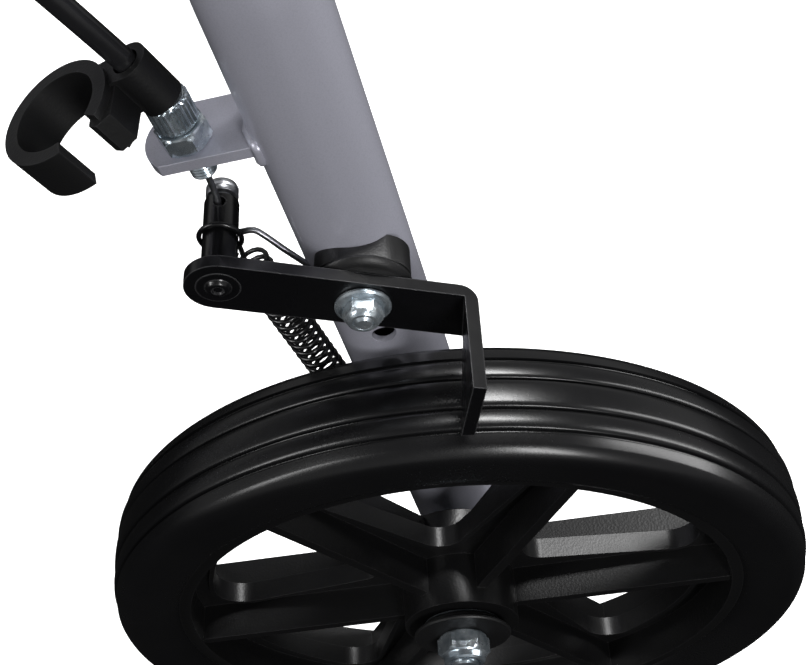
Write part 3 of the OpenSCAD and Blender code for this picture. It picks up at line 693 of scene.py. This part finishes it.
def tyre_rubber():
    rubber = Finish("tyre_rubber", (0.010, 0.010, 0.011), 0.36, Specular_IOR_Level=0.36)
    haze = rubber.noise(30, 3.0)
    rubber.set("Base Color", rubber.blend(haze, (0.003, 0.003, 0.0034), (0.006, 0.006, 0.0064)))
    rubber.set("Roughness", haze * 0.12 + rubber.noise(900, 2.0) * 0.06 + 0.17)
    rubber.bump(rubber.noise(1300, 3.0), 0.00004, 0.22)
    return rubber.material


def moulded_plastic(name, shade, roughness, grain, specular=0.42):
    plastic = Finish(name, (shade, shade, shade * 1.06), roughness, Specular_IOR_Level=specular)
    # Base colour lighter along every edge: a painted edge highlight, not wear.
    painted_edge_highlight = plastic.edges()
    plastic.set("Base Color", plastic.blend(
        painted_edge_highlight, (shade, shade, shade * 1.06), (shade * 2.6, shade * 2.6, shade * 2.7)))
    plastic.set("Roughness", plastic.noise(40) * 0.14 + (roughness - 0.07))
    plastic.bump(plastic.cells(grain), 0.00007, 0.35)
    return plastic.material


def bright_zinc():
    plating = Finish("bright_zinc", (0.5, 0.54, 0.6), 0.22, Metallic=0.85)
    cloud = plating.noise(150, 4.0)
    streak = plating.noise(520, 2.0)
    mottle = plating.ramp(cloud * 0.6 + streak * 0.4, 0.38, 0.66)
    plating.set("Base Color", plating.blend(mottle, (0.30, 0.36, 0.41), (0.70, 0.76, 0.80)))
    plating.set("Roughness", cloud * 0.26 + 0.12)
    plating.bump(streak, 0.00006, 0.4)
    return plating.material


def black_paint():
    paint = Finish("black_gloss_paint", (0.004, 0.004, 0.0045), 0.24, Coat_Weight=0.25,
                   Coat_Roughness=0.1, Specular_IOR_Level=0.36)
    # Base colour lighter along every edge: a painted edge highlight on the black paint, not wear.
    painted_edge_highlight = paint.edges(0.0005)
    paint.set("Base Color", paint.blend(painted_edge_highlight, (0.003, 0.003, 0.0035), (0.06, 0.06, 0.063)))
    paint.set("Roughness", paint.noise(60) * 0.14 + 0.2)
    paint.bump(paint.noise(420, 1.5), 0.00007, 0.35)
    return paint.material


finish_of_slot.update({
    "tyre": tyre_rubber(),
    "core": moulded_plastic("core_nylon", 0.0042, 0.36, 1400, 0.34),
    "black_plastic": moulded_plastic("black_plastic", 0.0055, 0.44, 1800, 0.34),
    "black_paint": black_paint(),
    "zinc": bright_zinc(),
})

wheel_r, rim_r, rim_w, tyre_w = 100, 81.3, 25.6, 31.8

# Half of the tyre's outline as (radius, width), from the rim to the middle of the tread
half_tyre = [(rim_r - 0.4, rim_w / 2 - 1.0), (rim_r + 0.1, rim_w / 2 + 0.2),
             (rim_r + 0.9, rim_w / 2 + 1.2), (rim_r + 1.9, rim_w / 2 + 1.85),
             (rim_r + 3.4, rim_w / 2 + 2.35), (rim_r + 5, tyre_w / 2 - 0.5)]
half_tyre += arc((wheel_r - 6.6, tyre_w / 2 - 5.4), 5.4, 90, 24, 14)
half_tyre += [
    (wheel_r - 1.25, 10.75), (wheel_r - 1.15, 10.45), (wheel_r - 1.9, 10.15), (wheel_r - 2.0, 9.9),
    (wheel_r - 2.0, 9.6), (wheel_r - 1.9, 9.4), (wheel_r - 1.0, 9.25), (wheel_r - 0.75, 9.0),
    (wheel_r - 0.45, 8.2), (wheel_r - 0.3, 6.9), (wheel_r - 0.35, 5.4), (wheel_r - 0.5, 4.6),
    (wheel_r - 0.7, 4.4), (wheel_r - 1.3, 4.25), (wheel_r - 1.4, 4.05), (wheel_r - 1.3, 3.85),
    (wheel_r - 0.5, 3.65), (wheel_r - 0.25, 3.4), (wheel_r - 0.1, 2.2), (wheel_r - 0.02, 1.0)]
tyre_outline = [(y, r) for r, y in half_tyre] + [(0, wheel_r)] + \
    [(-y, r) for r, y in reversed(half_tyre)]

for end in ("rear", "front"):
    for side in ("left", "right"):
        tyre = f"tyre_{end}_{side}"
        turned_piece(f"{tyre}_rubber", tyre_outline, 240, facing(middle(tyre)), "tyre",
                     f"wheel_{end}_{side}", [tyre], crease=42, closed=True)
        softened(f"core_{end}_{side}", 0.7 * mm, steps=3)
        softened(f"bearings_{end}_{side}", 0.25 * mm)


def thread(low, high, radius, pitch):
    """Rings of a screw thread between two heights."""
    rings = []
    for i in range(int((high - low) / pitch)):
        at = low + i * pitch
        rings += [(at, radius - 0.28), (at + pitch * 0.3, radius), (at + pitch * 0.55, radius)]
    return rings + [(high - 0.6, radius - 0.28), (high, radius - 0.9)]


def nut_rings(low, high, flats, bore):
    """A hexagon nut with its corners turned off at both faces."""
    corner = flats / 2 / math.cos(math.pi / 6)
    return [(low, bore), (low, flats / 2 - 0.2), (low + 0.35, flats / 2 + 0.25, flats),
            (low + 0.9, corner, flats), (high - 0.9, corner, flats),
            (high - 0.35, flats / 2 + 0.25, flats), (high, flats / 2 - 0.25), (high, bore)]


# Each axle: an M8 bolt through the leg with its head inboard, a dished washer under a
# self-locking nut with its nylon collar outboard, and a spacer between the leg and the hub.
nut_collar = [(26.1, 6.2), (26.7, 6.1), (27.6, 5.9), (28.1, 5.3), (28.1, 4.6), (27.6, 4.05),
              (27.4, 4)]
dish = [(16.6, 4), (16.6, 10.6), (17.0, 11.6), (17.6, 12.0), (18.1, 11.4), (18.6, 10.8),
        (18.9, 13.4), (19.1, 13.9), (19.6, 14.0), (20.0, 13.7), (20.1, 13.0), (20.1, 4)]
spacer = [(-17.6, 4.1), (-17.6, 7.2), (-17.2, 7.9), (-13.6, 8.5), (-12.9, 8.1), (-12.9, 4.1)]
bolt_head = [(-47.7, 5.5), (-47.5, 6.2), (-46.9, 7.4, 13), (-42.5, 7.5, 13), (-42.4, 6.4)]
for end in ("rear", "front"):
    nuts, bolts, washers = bmesh.new(), bmesh.new(), bmesh.new()
    for side, sign in (("left", 1), ("right", -1)):
        out = facing(middle(f"tyre_{end}_{side}"), sign)
        turned(nut_rings(20.1, 26.0, 13, 4)[:-1] + nut_collar, 72, out, nuts, closed=True)
        turned([(-43, 4), (18, 4)] + thread(18, 29, 4, 1.25), 36, out, bolts)
        turned(bolt_head, 72, out, bolts)
        turned(dish, 72, out, washers, closed=True)
        turned(spacer, 48, out, washers, closed=True)
    for node, form, shape, slot, crease in (
            (f"axle_nuts_{end}", "hex", nuts, "zinc", 28),
            (f"axle_bolts_{end}", "thread", bolts, "zinc", 28),
            (f"axle_washers_{end}", "dished", washers, "black_plastic", 35)):
        finished(f"{node}_{form}", as_mesh(shape), finish_of_slot[slot], body_of_node[node],
                 [node], crease=crease)

# ---------------------------------------------------------------- brake
# A bent steel arm, 3 mm thick and black, whose flange presses on the tread. It turns on a zinc
# bolt through the leg, and a black tension spring under it pulls it off the tyre.

pivot = Vector((24.8, 0, 124.6))
arm_rise = math.radians(14.7)
arm_place = brake_place @ Matrix.Translation(pivot * mm) @ Matrix.Rotation(-arm_rise, 4, "Y")
# On the arm, a place's own Z points outboard.
out_of_arm = Matrix.Rotation(-math.pi / 2, 4, "X")


def share(value, start, end):
    """How far a value is from start to end, kept between 0 and 1."""
    return min(max((value - start) / (end - start), 0), 1)


# The flange's foot is dressed: pressed forward towards its lower outer corner.
arm_piece = softened("brake_arm", 0.55 * mm, steps=3, name="arm_plate")
arm_back = arm_place.inverted()
flange_x, flange_y, flange_z, pressed = -20, (6, 15.5), (2, -12), 1.9 * mm
for vertex in arm_piece.data.vertices:
    at = arm_back @ vertex.co / mm
    if at.x < flange_x:
        moved = pressed * share(at.y, *flange_y) * share(at.z, *flange_z)
        vertex.co += arm_place.to_3x3() @ Vector((moved, 0, 0))

# The anchor pin: a turned barrel with a cross hole for the wire, riveted into the arm. Its
# inboard end holds a domed screw.
pin_reach = 32.1
pin_place = arm_place @ Matrix.Translation(Vector((pin_reach, 0, 0)) * mm) @ out_of_arm
pin_at = pivot + pin_reach * Vector((math.cos(arm_rise), 0, math.sin(arm_rise)))
cross_hole = as_mesh(turned([(-8, 1.4), (8, 1.4)], 24, brake_place @ Matrix.Translation(
    (pin_at + Vector((0, leg_y, 0))) * mm)))
barrel = as_mesh(turned(
    [(-33.6, 2.4), (-32.7, 2.4), (-32.6, 3.5), (-32.3, 3.9), (-32.0, 4.0), (-12.1, 4.0),
     (-11.75, 3.7), (-11.75, 3.0), (-8.9, 3.0)], 48, pin_place))
finished("anchor_barrel", carved(barrel, cut=[cross_hole]), finish_of_slot["black_paint"],
         "anchor_pin", ["anchor_pin"], crease=38)
turned_piece("anchor_screw_head", [
    (-38.5, 0.4), (-38.4, 1.5), (-38.0, 2.6), (-37.3, 3.4), (-36.5, 3.75), (-35.9, 3.75),
    (-35.6, 3.4), (-35.3, 3.4), (-35.0, 3.75), (-34.2, 3.75), (-33.9, 3.5), (-33.8, 2.6),
    (-33.2, 2.4)], 48, pin_place, "wire", "anchor_pin")
turned_piece("anchor_rivet", [
    (-8.9, 4.9), (-8.5, 5.0), (-8.38, 4.8), (-8.46, 4.4), (-8.47, 2.9), (-8.2, 2.6), (-7.7, 2.4),
    (-7.45, 2.0), (-7.5, 1.3), (-7.9, 1.1)], 48, pin_place, "black_paint", "anchor_pin")
bolt_place = brake_place @ Matrix.Translation(pivot * mm) @ out_of_arm


def rounded_outline(long, wide, corner, count=10):
    """A rectangle's outline with rounded corners, round the origin."""
    points = []
    for sx, sy, start in ((1, 1, 0), (-1, 1, 90), (-1, -1, 180), (1, -1, 270)):
        points += arc((sx * (long / 2 - corner), sy * (wide / 2 - corner)), corner, start,
                      start + 90, count)
    return points


# A moulded saddle takes up the round of the leg, and a disc lets the arm turn on it.
leg_clear_r = 12.75
leg_bar = as_mesh(turned([(60, leg_clear_r), (190, leg_clear_r)], 96, Matrix.Translation(leg_foot) @
                         Matrix.Rotation(leg_lean, 4, "Y")))
saddle = prism(rounded_outline(21.5, 19, 6.5), -20.9, -13.7,
               bolt_place @ Matrix.Rotation(math.radians(-5), 4, "Z"))
finished("saddle_block", carved(saddle, cut=[leg_bar], width=0.8 * mm, steps=3),
         finish_of_slot["black_plastic"], "frame", ["pivot_washers"], crease=45)
turned_piece("saddle_disc", [
    (-13.9, 3), (-13.9, 10.9), (-13.5, 11.4), (-13.0, 11.5), (-12.4, 11.1), (-11.9, 10.2),
    (-11.6, 9.4), (-11.6, 3)], 72, bolt_place, "black_plastic", "frame", closed=True)
turned_piece("pivot_nut_hex", [
    (-8.4, 3.1), (-8.4, 6.1), (-8.2, 6.35), (-7.7, 6.35), (-7.35, 5.9), (-7.2, 4.9),
    (-7.2, 4.4, 8.2), (-6.9, 4.8, 8.2), (-5.0, 4.8, 8.2), (-4.6, 4.35, 8.2), (-4.3, 3.9),
    (-3.7, 3.6), (-3.3, 3.1), (-3.3, 2.5), (-3.8, 2.4), (-3.8, 3.0)], 72, bolt_place, "zinc",
    "frame", ["brake_pivot_nut"], crease=28)
turned_piece("pivot_bolt_thread", [
    (-46.9, 3.2), (-46.7, 4.6), (-46.2, 5.8, 10), (-42.7, 5.8, 10), (-42.6, 3.0), (-11, 3.0),
    (-11, 2.9), *thread(-10, -2.9, 2.55, 0.7), (-2.85, 1.2)], 48, bolt_place, "zinc",
    "frame", ["brake_pivot_bolt"], crease=28)

# The return spring: 22 open turns of 1.2 mm black wire between a ring round the anchor pin and
# an eye on the leg's stud.
spring_top = Vector((50.6, -25, 121))
spring_end = Vector((29.5, -22.5, 64))
stud = Vector((29.5, -27.5, 46))
hook_at = pin_at + Vector((0, -22.5, 0))
spring_axis = (spring_end - spring_top).normalized()
across = Vector((0, 1, 0))
spring_side = across.cross(spring_axis).normalized()
spring_turns, spring_r, spring_wire_r, steps_a_turn = 22, 4.05, 0.6 * mm, 18


def on_coil(turn):
    a = math.tau * turn
    along = spring_top + (spring_end - spring_top) * (turn / spring_turns)
    return along + spring_r * (across * math.cos(a) + spring_side * math.sin(a))


hook_r, eye_r = 4.75, 2.15
hook = [hook_at + Vector((hook_r * math.cos(a), 0.12 * a, hook_r * math.sin(a)))
        for a in (math.radians(d) for d in range(-90, 215, 12))]
hook.insert(0, hook_at + Vector((-3.4, 0.9, -5.6)))
coil = [on_coil(i / steps_a_turn) for i in range(steps_a_turn * spring_turns + 1)]
eye = [stud + Vector((0.5, eye_r * math.cos(a), eye_r * math.sin(a)))
       for a in (math.radians(d) for d in range(90, 430, 20))]
lead = eased([hook_at + Vector((-1.2, -1.1, -5.2)), hook_at + Vector((-3.2, -3.2, -6.2)),
              coil[0]], 2)
tail = eased([coil[-1], spring_end + Vector((-0.6, 1.0, -2.5)), stud + Vector((0.9, 0.4, 4.4)),
              eye[0]], 2)


def spring_wire(name, points, body=None, nodes=()):
    paint = finish_of_slot["black_paint"]
    path = line_mesh([brake_place @ (p * mm) for p in points])
    return finished(name, tubes.run(path, paint, radius=spring_wire_r, sides=8), paint, body, nodes)


spring = spring_wire("return_spring_coil", lead[:-1] + coil + tail[1:-1] + eye,
                     nodes=["return_spring"])
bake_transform(spring)
turned_piece("spring_stud", [
    (-9.5, 1.5), (1.2, 1.5), (1.5, 2.6), (1.8, 2.8), (2.4, 2.8), (2.6, 2.5)], 32,
    brake_place @ Matrix.Translation(stud * mm) @ Matrix.Rotation(math.pi / 2, 4, "Y"),
    "frame_paint", "frame")
spring_wire("spring_hook", hook, "brake_arm")

# The adjuster: an M6 barrel screw with a knurled head, locked by a nut on the tab.
knurl = Pattern("copies_round", count=24, radius=0.0044)
rim = knurl.node("GeometryNodeMeshCircle",
                 {"Vertices": knurl.given["count"], "Radius": knurl.given["radius"]})
turn = knurl.math("DIVIDE", knurl.math("MULTIPLY", knurl.node("GeometryNodeInputIndex"), math.tau),
                  knurl.given["count"])
knurl.end(knurl.node("GeometryNodeInstanceOnPoints", {
    "Points": rim, "Instance": knurl.given["Geometry"],
    "Rotation": knurl.node("ShaderNodeCombineXYZ", {"Z": turn})}, output="Instances"))


def ridge(width, depth, low, high):
    """One knurl ridge, a long tooth with sloped ends, standing on a circle's edge."""
    shape = bmesh.new()
    rows = []
    for z, out in ((low, 0.0), (low + 0.4, depth), (high - 0.4, depth), (high, 0.0)):
        rows.append([shape.verts.new(Vector(p) * mm) for p in (
            (-0.5, -width / 2, z), (out * 0.2, -width / 2, z), (out, -width * 0.16, z),
            (out, width * 0.16, z), (out * 0.2, width / 2, z), (-0.5, width / 2, z))])
    for low_row, high_row in zip(rows, rows[1:]):
        for i in range(6):
            j = (i + 1) % 6
            shape.faces.new((low_row[i], low_row[j], high_row[j], high_row[i]))
    for row in (rows[0], rows[-1]):
        shape.faces.new(row)
    return as_mesh(shape)


turned_piece("adjuster_barrel", [
    (0, 1.5), (0, 2.3), *thread(0.3, 15, 3, 0.9)[:-2], (15.3, 2.7), (15.5, 4.2), (15.9, 4.4),
    (22.3, 4.4), (22.9, 4.0), (23, 3.2), (22.2, 3.0), (22.2, 1.5)], 72, adjuster_place, "zinc",
    "frame", ["cable_adjuster"], crease=28, closed=True)
finished("adjuster_knurl", knurl.run(
    ridge(0.9, 0.55, 16.0, 22.7), finish_of_slot["zinc"], adjuster_place, count=24,
    radius=4.35 * mm), finish_of_slot["zinc"], "frame", crease=25)
turned_piece("adjuster_lock_nut", nut_rings(10.05, 15.2, 10.3, 3), 72, adjuster_place, "zinc",
             "frame", ["adjuster_nut"], crease=28, closed=True)

# ---------------------------------------------------------------- cable clip
# A black nylon clip: a barrel snapped on the housing and an open ring that parks on the leg
# when the scooter is folded. Guides of the same nylon hold the housing along the beam.

clip_place = Matrix.Translation(Vector((-216.5, 166.3, 268.8)) * mm) @ \
    Matrix.Rotation(math.radians(30), 4, "Y")
ring_at, ring_in, ring_out = (16.2, 6), 9.7, 12.8
open_ring = prism(
    arc(ring_at, ring_out, 148, 464, 60) + arc(ring_at, ring_in, 464, 148, 60), 2.2, 12.8,
    clip_place)
barrel = as_mesh(turned([(0, 4.75), (11.6, 4.75)], 64, clip_place))
bore = as_mesh(turned([(-1, 2.95), (13, 2.95)], 48, clip_place))
web = prism([(1.5, -3.4), (7, -3.2), (7, 4.5), (1.5, 4.4)], 2.2, 11.6, clip_place)
foot = prism([(2.4, 3.4), (7.9, 3.4), (8.1, 12.8), (6.2, 13.9), (2.9, 12.2)], 3.0, 11.0, clip_place)
finished("cable_clip_body", carved(open_ring, added=[web, foot, barrel], cut=[bore],
                                   width=0.4 * mm), finish_of_slot["black_plastic"], "frame",
         ["cable_clip"], crease=45)
softened("cable_guides", 0.4 * mm)

# ---------------------------------------------------------------- steering and column
# The fork hoop, bent like the rear one, and its steerer turn in the head tube. The painted
# column folds on a clevis, locked by a spring pin, and clamps the satin steel stem with a lever.


def satin_steel():
    tube = Finish("satin_silver", (0.50, 0.51, 0.53), 0.3, Metallic=1.0)
    brushed = tube.noise(240, 3.0)
    tube.set("Base Color", tube.blend(brushed, (0.42, 0.43, 0.45), (0.58, 0.59, 0.61)))
    tube.set("Roughness", brushed * 0.2 + 0.2)
    tube.bump(tube.noise(1100, 2.0), 0.00003, 0.3)
    return tube.material


finish_of_slot["satin_tube"] = satin_steel()
hoop("front_hoop", Matrix.Translation(Vector((front_x, 0, axle_z)) * mm), front_half, front_rise)
softened("steerer", 0)
for node in ("headset_cups", "headset_nut", "fold_clevis", "fold_bolt", "column_tube",
             "column_clamp", "clamp_bolt"):
    softened(node, 0.5 * mm)
softened("clamp_lever", 0.8 * mm, steps=3)

# The steerer's two welds: under the clevis, and coped onto the hoop's crossbar.
steerer_r, clevis_z, crossbar_z = 14.3 * mm, 0.495, (axle_z + front_rise) * mm
weld("weld_clevis", level_ring(front_at, clevis_z, steerer_r + 0.4 * mm, steerer_r + 0.4 * mm),
     "steering")
crown = level_ring(front_at, 0.4, 12.2 * mm, steerer_r)
weld("weld_crown", onto_tube(crown, (0, 0, -1), (front_at, 0, crossbar_z), (0, 1, 0), leg_r),
     "steering")
softened("fold_pin", 0.8 * mm, steps=3)

# ---------------------------------------------------------------- handlebar
# A straight satin tube with two ribbed rubber grips. The brake lever hangs in a moulded perch
# by the left grip, with a red catch that holds it for parking.


def red_plastic():
    plastic = Finish("red_plastic", (0.42, 0.02, 0.015), 0.35)
    shade = plastic.noise(60)
    plastic.set("Base Color", plastic.blend(shade, (0.34, 0.015, 0.012), (0.46, 0.025, 0.018)))
    plastic.set("Roughness", shade * 0.14 + 0.28)
    plastic.bump(plastic.cells(1800), 0.00007, 0.35)
    return plastic.material


finish_of_slot["red_plastic"] = red_plastic()
finish_of_slot["grip"] = moulded_plastic("grip_rubber", 0.011, 0.58, 1500, 0.3)
for node in ("stem_tube", "handlebar"):
    softened(node, 0.3 * mm)
for node in ("lever_perch", "brake_lever", "park_lock"):
    softened(node, 0.8 * mm, steps=3)
softened("grips", 1.2 * mm, steps=4)

row = Pattern("copies_in_a_row", count=17, step=0.005)
beads = row.node("GeometryNodeMeshLine", {
    "Count": row.given["count"],
    "Offset": row.node("ShaderNodeCombineXYZ", {"Z": row.given["step"]})}, {"mode": "OFFSET"})
row.end(row.node("GeometryNodeInstanceOnPoints",
                 {"Points": beads, "Instance": row.given["Geometry"]}, output="Instances"))
grip_rib = as_mesh(turned([(0, 15.6), (0.5, 16.35), (1.3, 16.6), (2.1, 16.35), (2.6, 15.6)],
                          48, closed=True))
bar_z, first_rib = 0.383, 0.092
for name, side in (("grip_ribs_left", 1), ("grip_ribs_right", -1)):
    start = column_place @ facing(Vector((0, side * first_rib, bar_z)), side)
    finished(name, row.run(grip_rib, finish_of_slot["grip"], start), finish_of_slot["grip"],
             "handlebar", crease=40)

# ---------------------------------------------------------------- knee rest
# Two foam pads under black vinyl, side by side on a steel plate, each with a piped seam round
# its top. A spring pin sets the post's height in the frame's socket.


def black_vinyl():
    vinyl = Finish("black_vinyl", (0.016, 0.016, 0.017), 0.45, Specular_IOR_Level=0.4)
    grain = vinyl.cells(900, feature="DISTANCE_TO_EDGE")
    wear = vinyl.noise(22, 3.0)
    vinyl.set("Base Color", vinyl.blend(wear, (0.013, 0.013, 0.014), (0.022, 0.022, 0.023)))
    vinyl.set("Roughness", wear * 0.2 + 0.36)
    vinyl.bump(vinyl.ramp(grain, 0.0, 0.25), 0.00016, 0.5)
    return vinyl.material


finish_of_slot["vinyl"] = black_vinyl()
softened("seat_post", 0.4 * mm)
softened("seat_plate", 1.0 * mm, steps=3)
softened("seat_pin", 0.8 * mm, steps=3)


pad_top = 0.94  # of the cushion's height, which leaves the rest for its swelling


def pad_mesh(centre, low, high):
    """A closed pad: flat underneath, its sides and top drawn in to a soft crown."""
    long, wide, tall = (high[i] - low[i] for i in range(3))
    layers = ((0.0, 9), (0.06, 5), (0.22, 3.2), (0.5, 2.6), (0.74, 3.4), (0.88, 6.0), (0.96, 10),
              (1.0, 15))
    shape = bmesh.new()
    loops = []
    for height, inset in layers:
        outline = rounded_outline(long / mm - 2 * inset, wide / mm - 2 * inset,
                                  max(22 - inset * 0.6, 8))
        z = low[2] + tall * pad_top * height
        loops.append([shape.verts.new((centre.x + x * mm, centre.y + y * mm, z))
                      for x, y in outline])
    for under, over in zip(loops, loops[1:]):
        for i in range(len(under)):
            j = (i + 1) % len(under)
            shape.faces.new((under[i], under[j], over[j], over[i]))
    shape.faces.new(loops[0])
    shape.faces.new(loops[-1])
    return as_mesh(shape)


def swollen(pad, pressure=4, steps=20, cap=7 * mm):
    """The pad's mesh blown up as tight cloth, no point moved past the cap or under the base."""
    rest = [v.co.copy() for v in pad.data.vertices]
    floor_z = min(p.z for p in rest)
    cloth = pad.modifiers.new("cloth", "CLOTH")
    cloth.settings.use_pressure = True
    cloth.settings.uniform_pressure_force = pressure
    cloth.settings.effector_weights.gravity = 0
    cloth.settings.quality = 6
    scene = bpy.context.scene
    scene.frame_start, scene.frame_end = 1, steps
    for step in range(1, steps + 1):
        scene.frame_set(step)
    mesh = as_it_stands(pad)
    for vertex, start in zip(mesh.vertices, rest):
        move = vertex.co - start
        if move.length > cap:
            move *= cap / move.length
        vertex.co = start + move
        vertex.co.z = max(vertex.co.z, floor_z)
    pad.modifiers.clear()
    scene.frame_set(1)
    return mesh


def stuffed(mesh):
    """The pad as stuffed cloth: remeshed evenly, swollen and smoothed."""
    pad = in_scene("pad", mesh)
    remesh = pad.modifiers.new("even", "REMESH")
    remesh.mode, remesh.voxel_size = "VOXEL", 5 * mm
    pad = in_scene("pad", made_plain(pad))
    pad.data = swollen(pad)
    smooth = pad.modifiers.new("finer", "SUBSURF")
    smooth.levels = smooth.render_levels = 1
    return made_plain(pad)


stitches = Pattern("stitches_along", length=0.0045, thickness=0.0005, gap=0.006)
sewn = stitches.node("GeometryNodeMeshToCurve", {"Mesh": stitches.given["Geometry"]})
spaced = stitches.node("GeometryNodeResampleCurve",
                       {"Curve": sewn, "Length": stitches.given["gap"]}, {"mode": "LENGTH"})
bead = stitches.node("GeometryNodeMeshUVSphere", {"Segments": 6, "Rings": 4, "Radius": 1.0})
long_way = stitches.node("ShaderNodeCombineXYZ", {
    "X": stitches.given["thickness"], "Y": stitches.given["thickness"],
    "Z": stitches.math("MULTIPLY", stitches.given["length"], 0.5)})
stitches.end(stitches.node("GeometryNodeInstanceOnPoints", {
    "Points": spaced, "Instance": bead, "Scale": long_way,
    "Rotation": stitches.node("FunctionNodeAlignEulerToVector", {
        "Vector": stitches.node("GeometryNodeInputTangent")}, {"axis": "Z"})}, output="Instances"))

vinyl_finish = finish_of_slot["vinyl"]


def round_pad(pad, node, height, inset, off):
    """A line round a pad at a share of its height, just off its surface."""
    low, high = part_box(node)
    long, wide, tall = (high[i] - low[i] for i in range(3))
    centre = middle(node)
    path = []
    for x, y in rounded_outline(long / mm - 2 * inset, wide / mm - 2 * inset, 21, 14):
        outside = Vector((centre.x + x * mm * 1.02, centre.y + y * mm * 1.05,
                          low[2] + tall * pad_top * height))
        _, at, normal, _ = pad.closest_point_on_mesh(outside)
        path.append(at + normal * off)
    return line_mesh(path, True)


for node in ("cushion_left", "cushion_right"):
    pad = finished(f"{node}_pad", stuffed(pad_mesh(middle(node), *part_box(node))), vinyl_finish,
                   "seat", [node], crease=60)
    piping = tubes.run(round_pad(pad, node, 0.80, 3.6, 0.5 * mm), vinyl_finish,
                       radius=1.7 * mm, sides=12)
    finished(f"{node}_piping", piping, vinyl_finish, "seat")
    seam = stitches.run(round_pad(pad, node, 0.72, 2.2, 0.15 * mm), vinyl_finish)
    finished(f"{node}_stitches", seam, vinyl_finish, "seat")

# ---------------------------------------------------------------- floor
# A white sweep, lit from within so that it stays pale; it throws no light back.


def floor():
    mesh = bpy.data.meshes.new("floor")
    mesh.from_pydata([(-6, -6, 0), (6, -6, 0), (6, 6, 0), (-6, 6, 0)], [], [(0, 1, 2, 3)])
    sweep = in_scene("floor", mesh)
    white = Finish("white_sweep", (0.9, 0.9, 0.9), 0.7, Emission_Color=(1, 1, 1, 1),
                   Emission_Strength=0.8)
    mesh.materials.append(white.material)
    sweep.visible_glossy = sweep.visible_diffuse = False


floor()
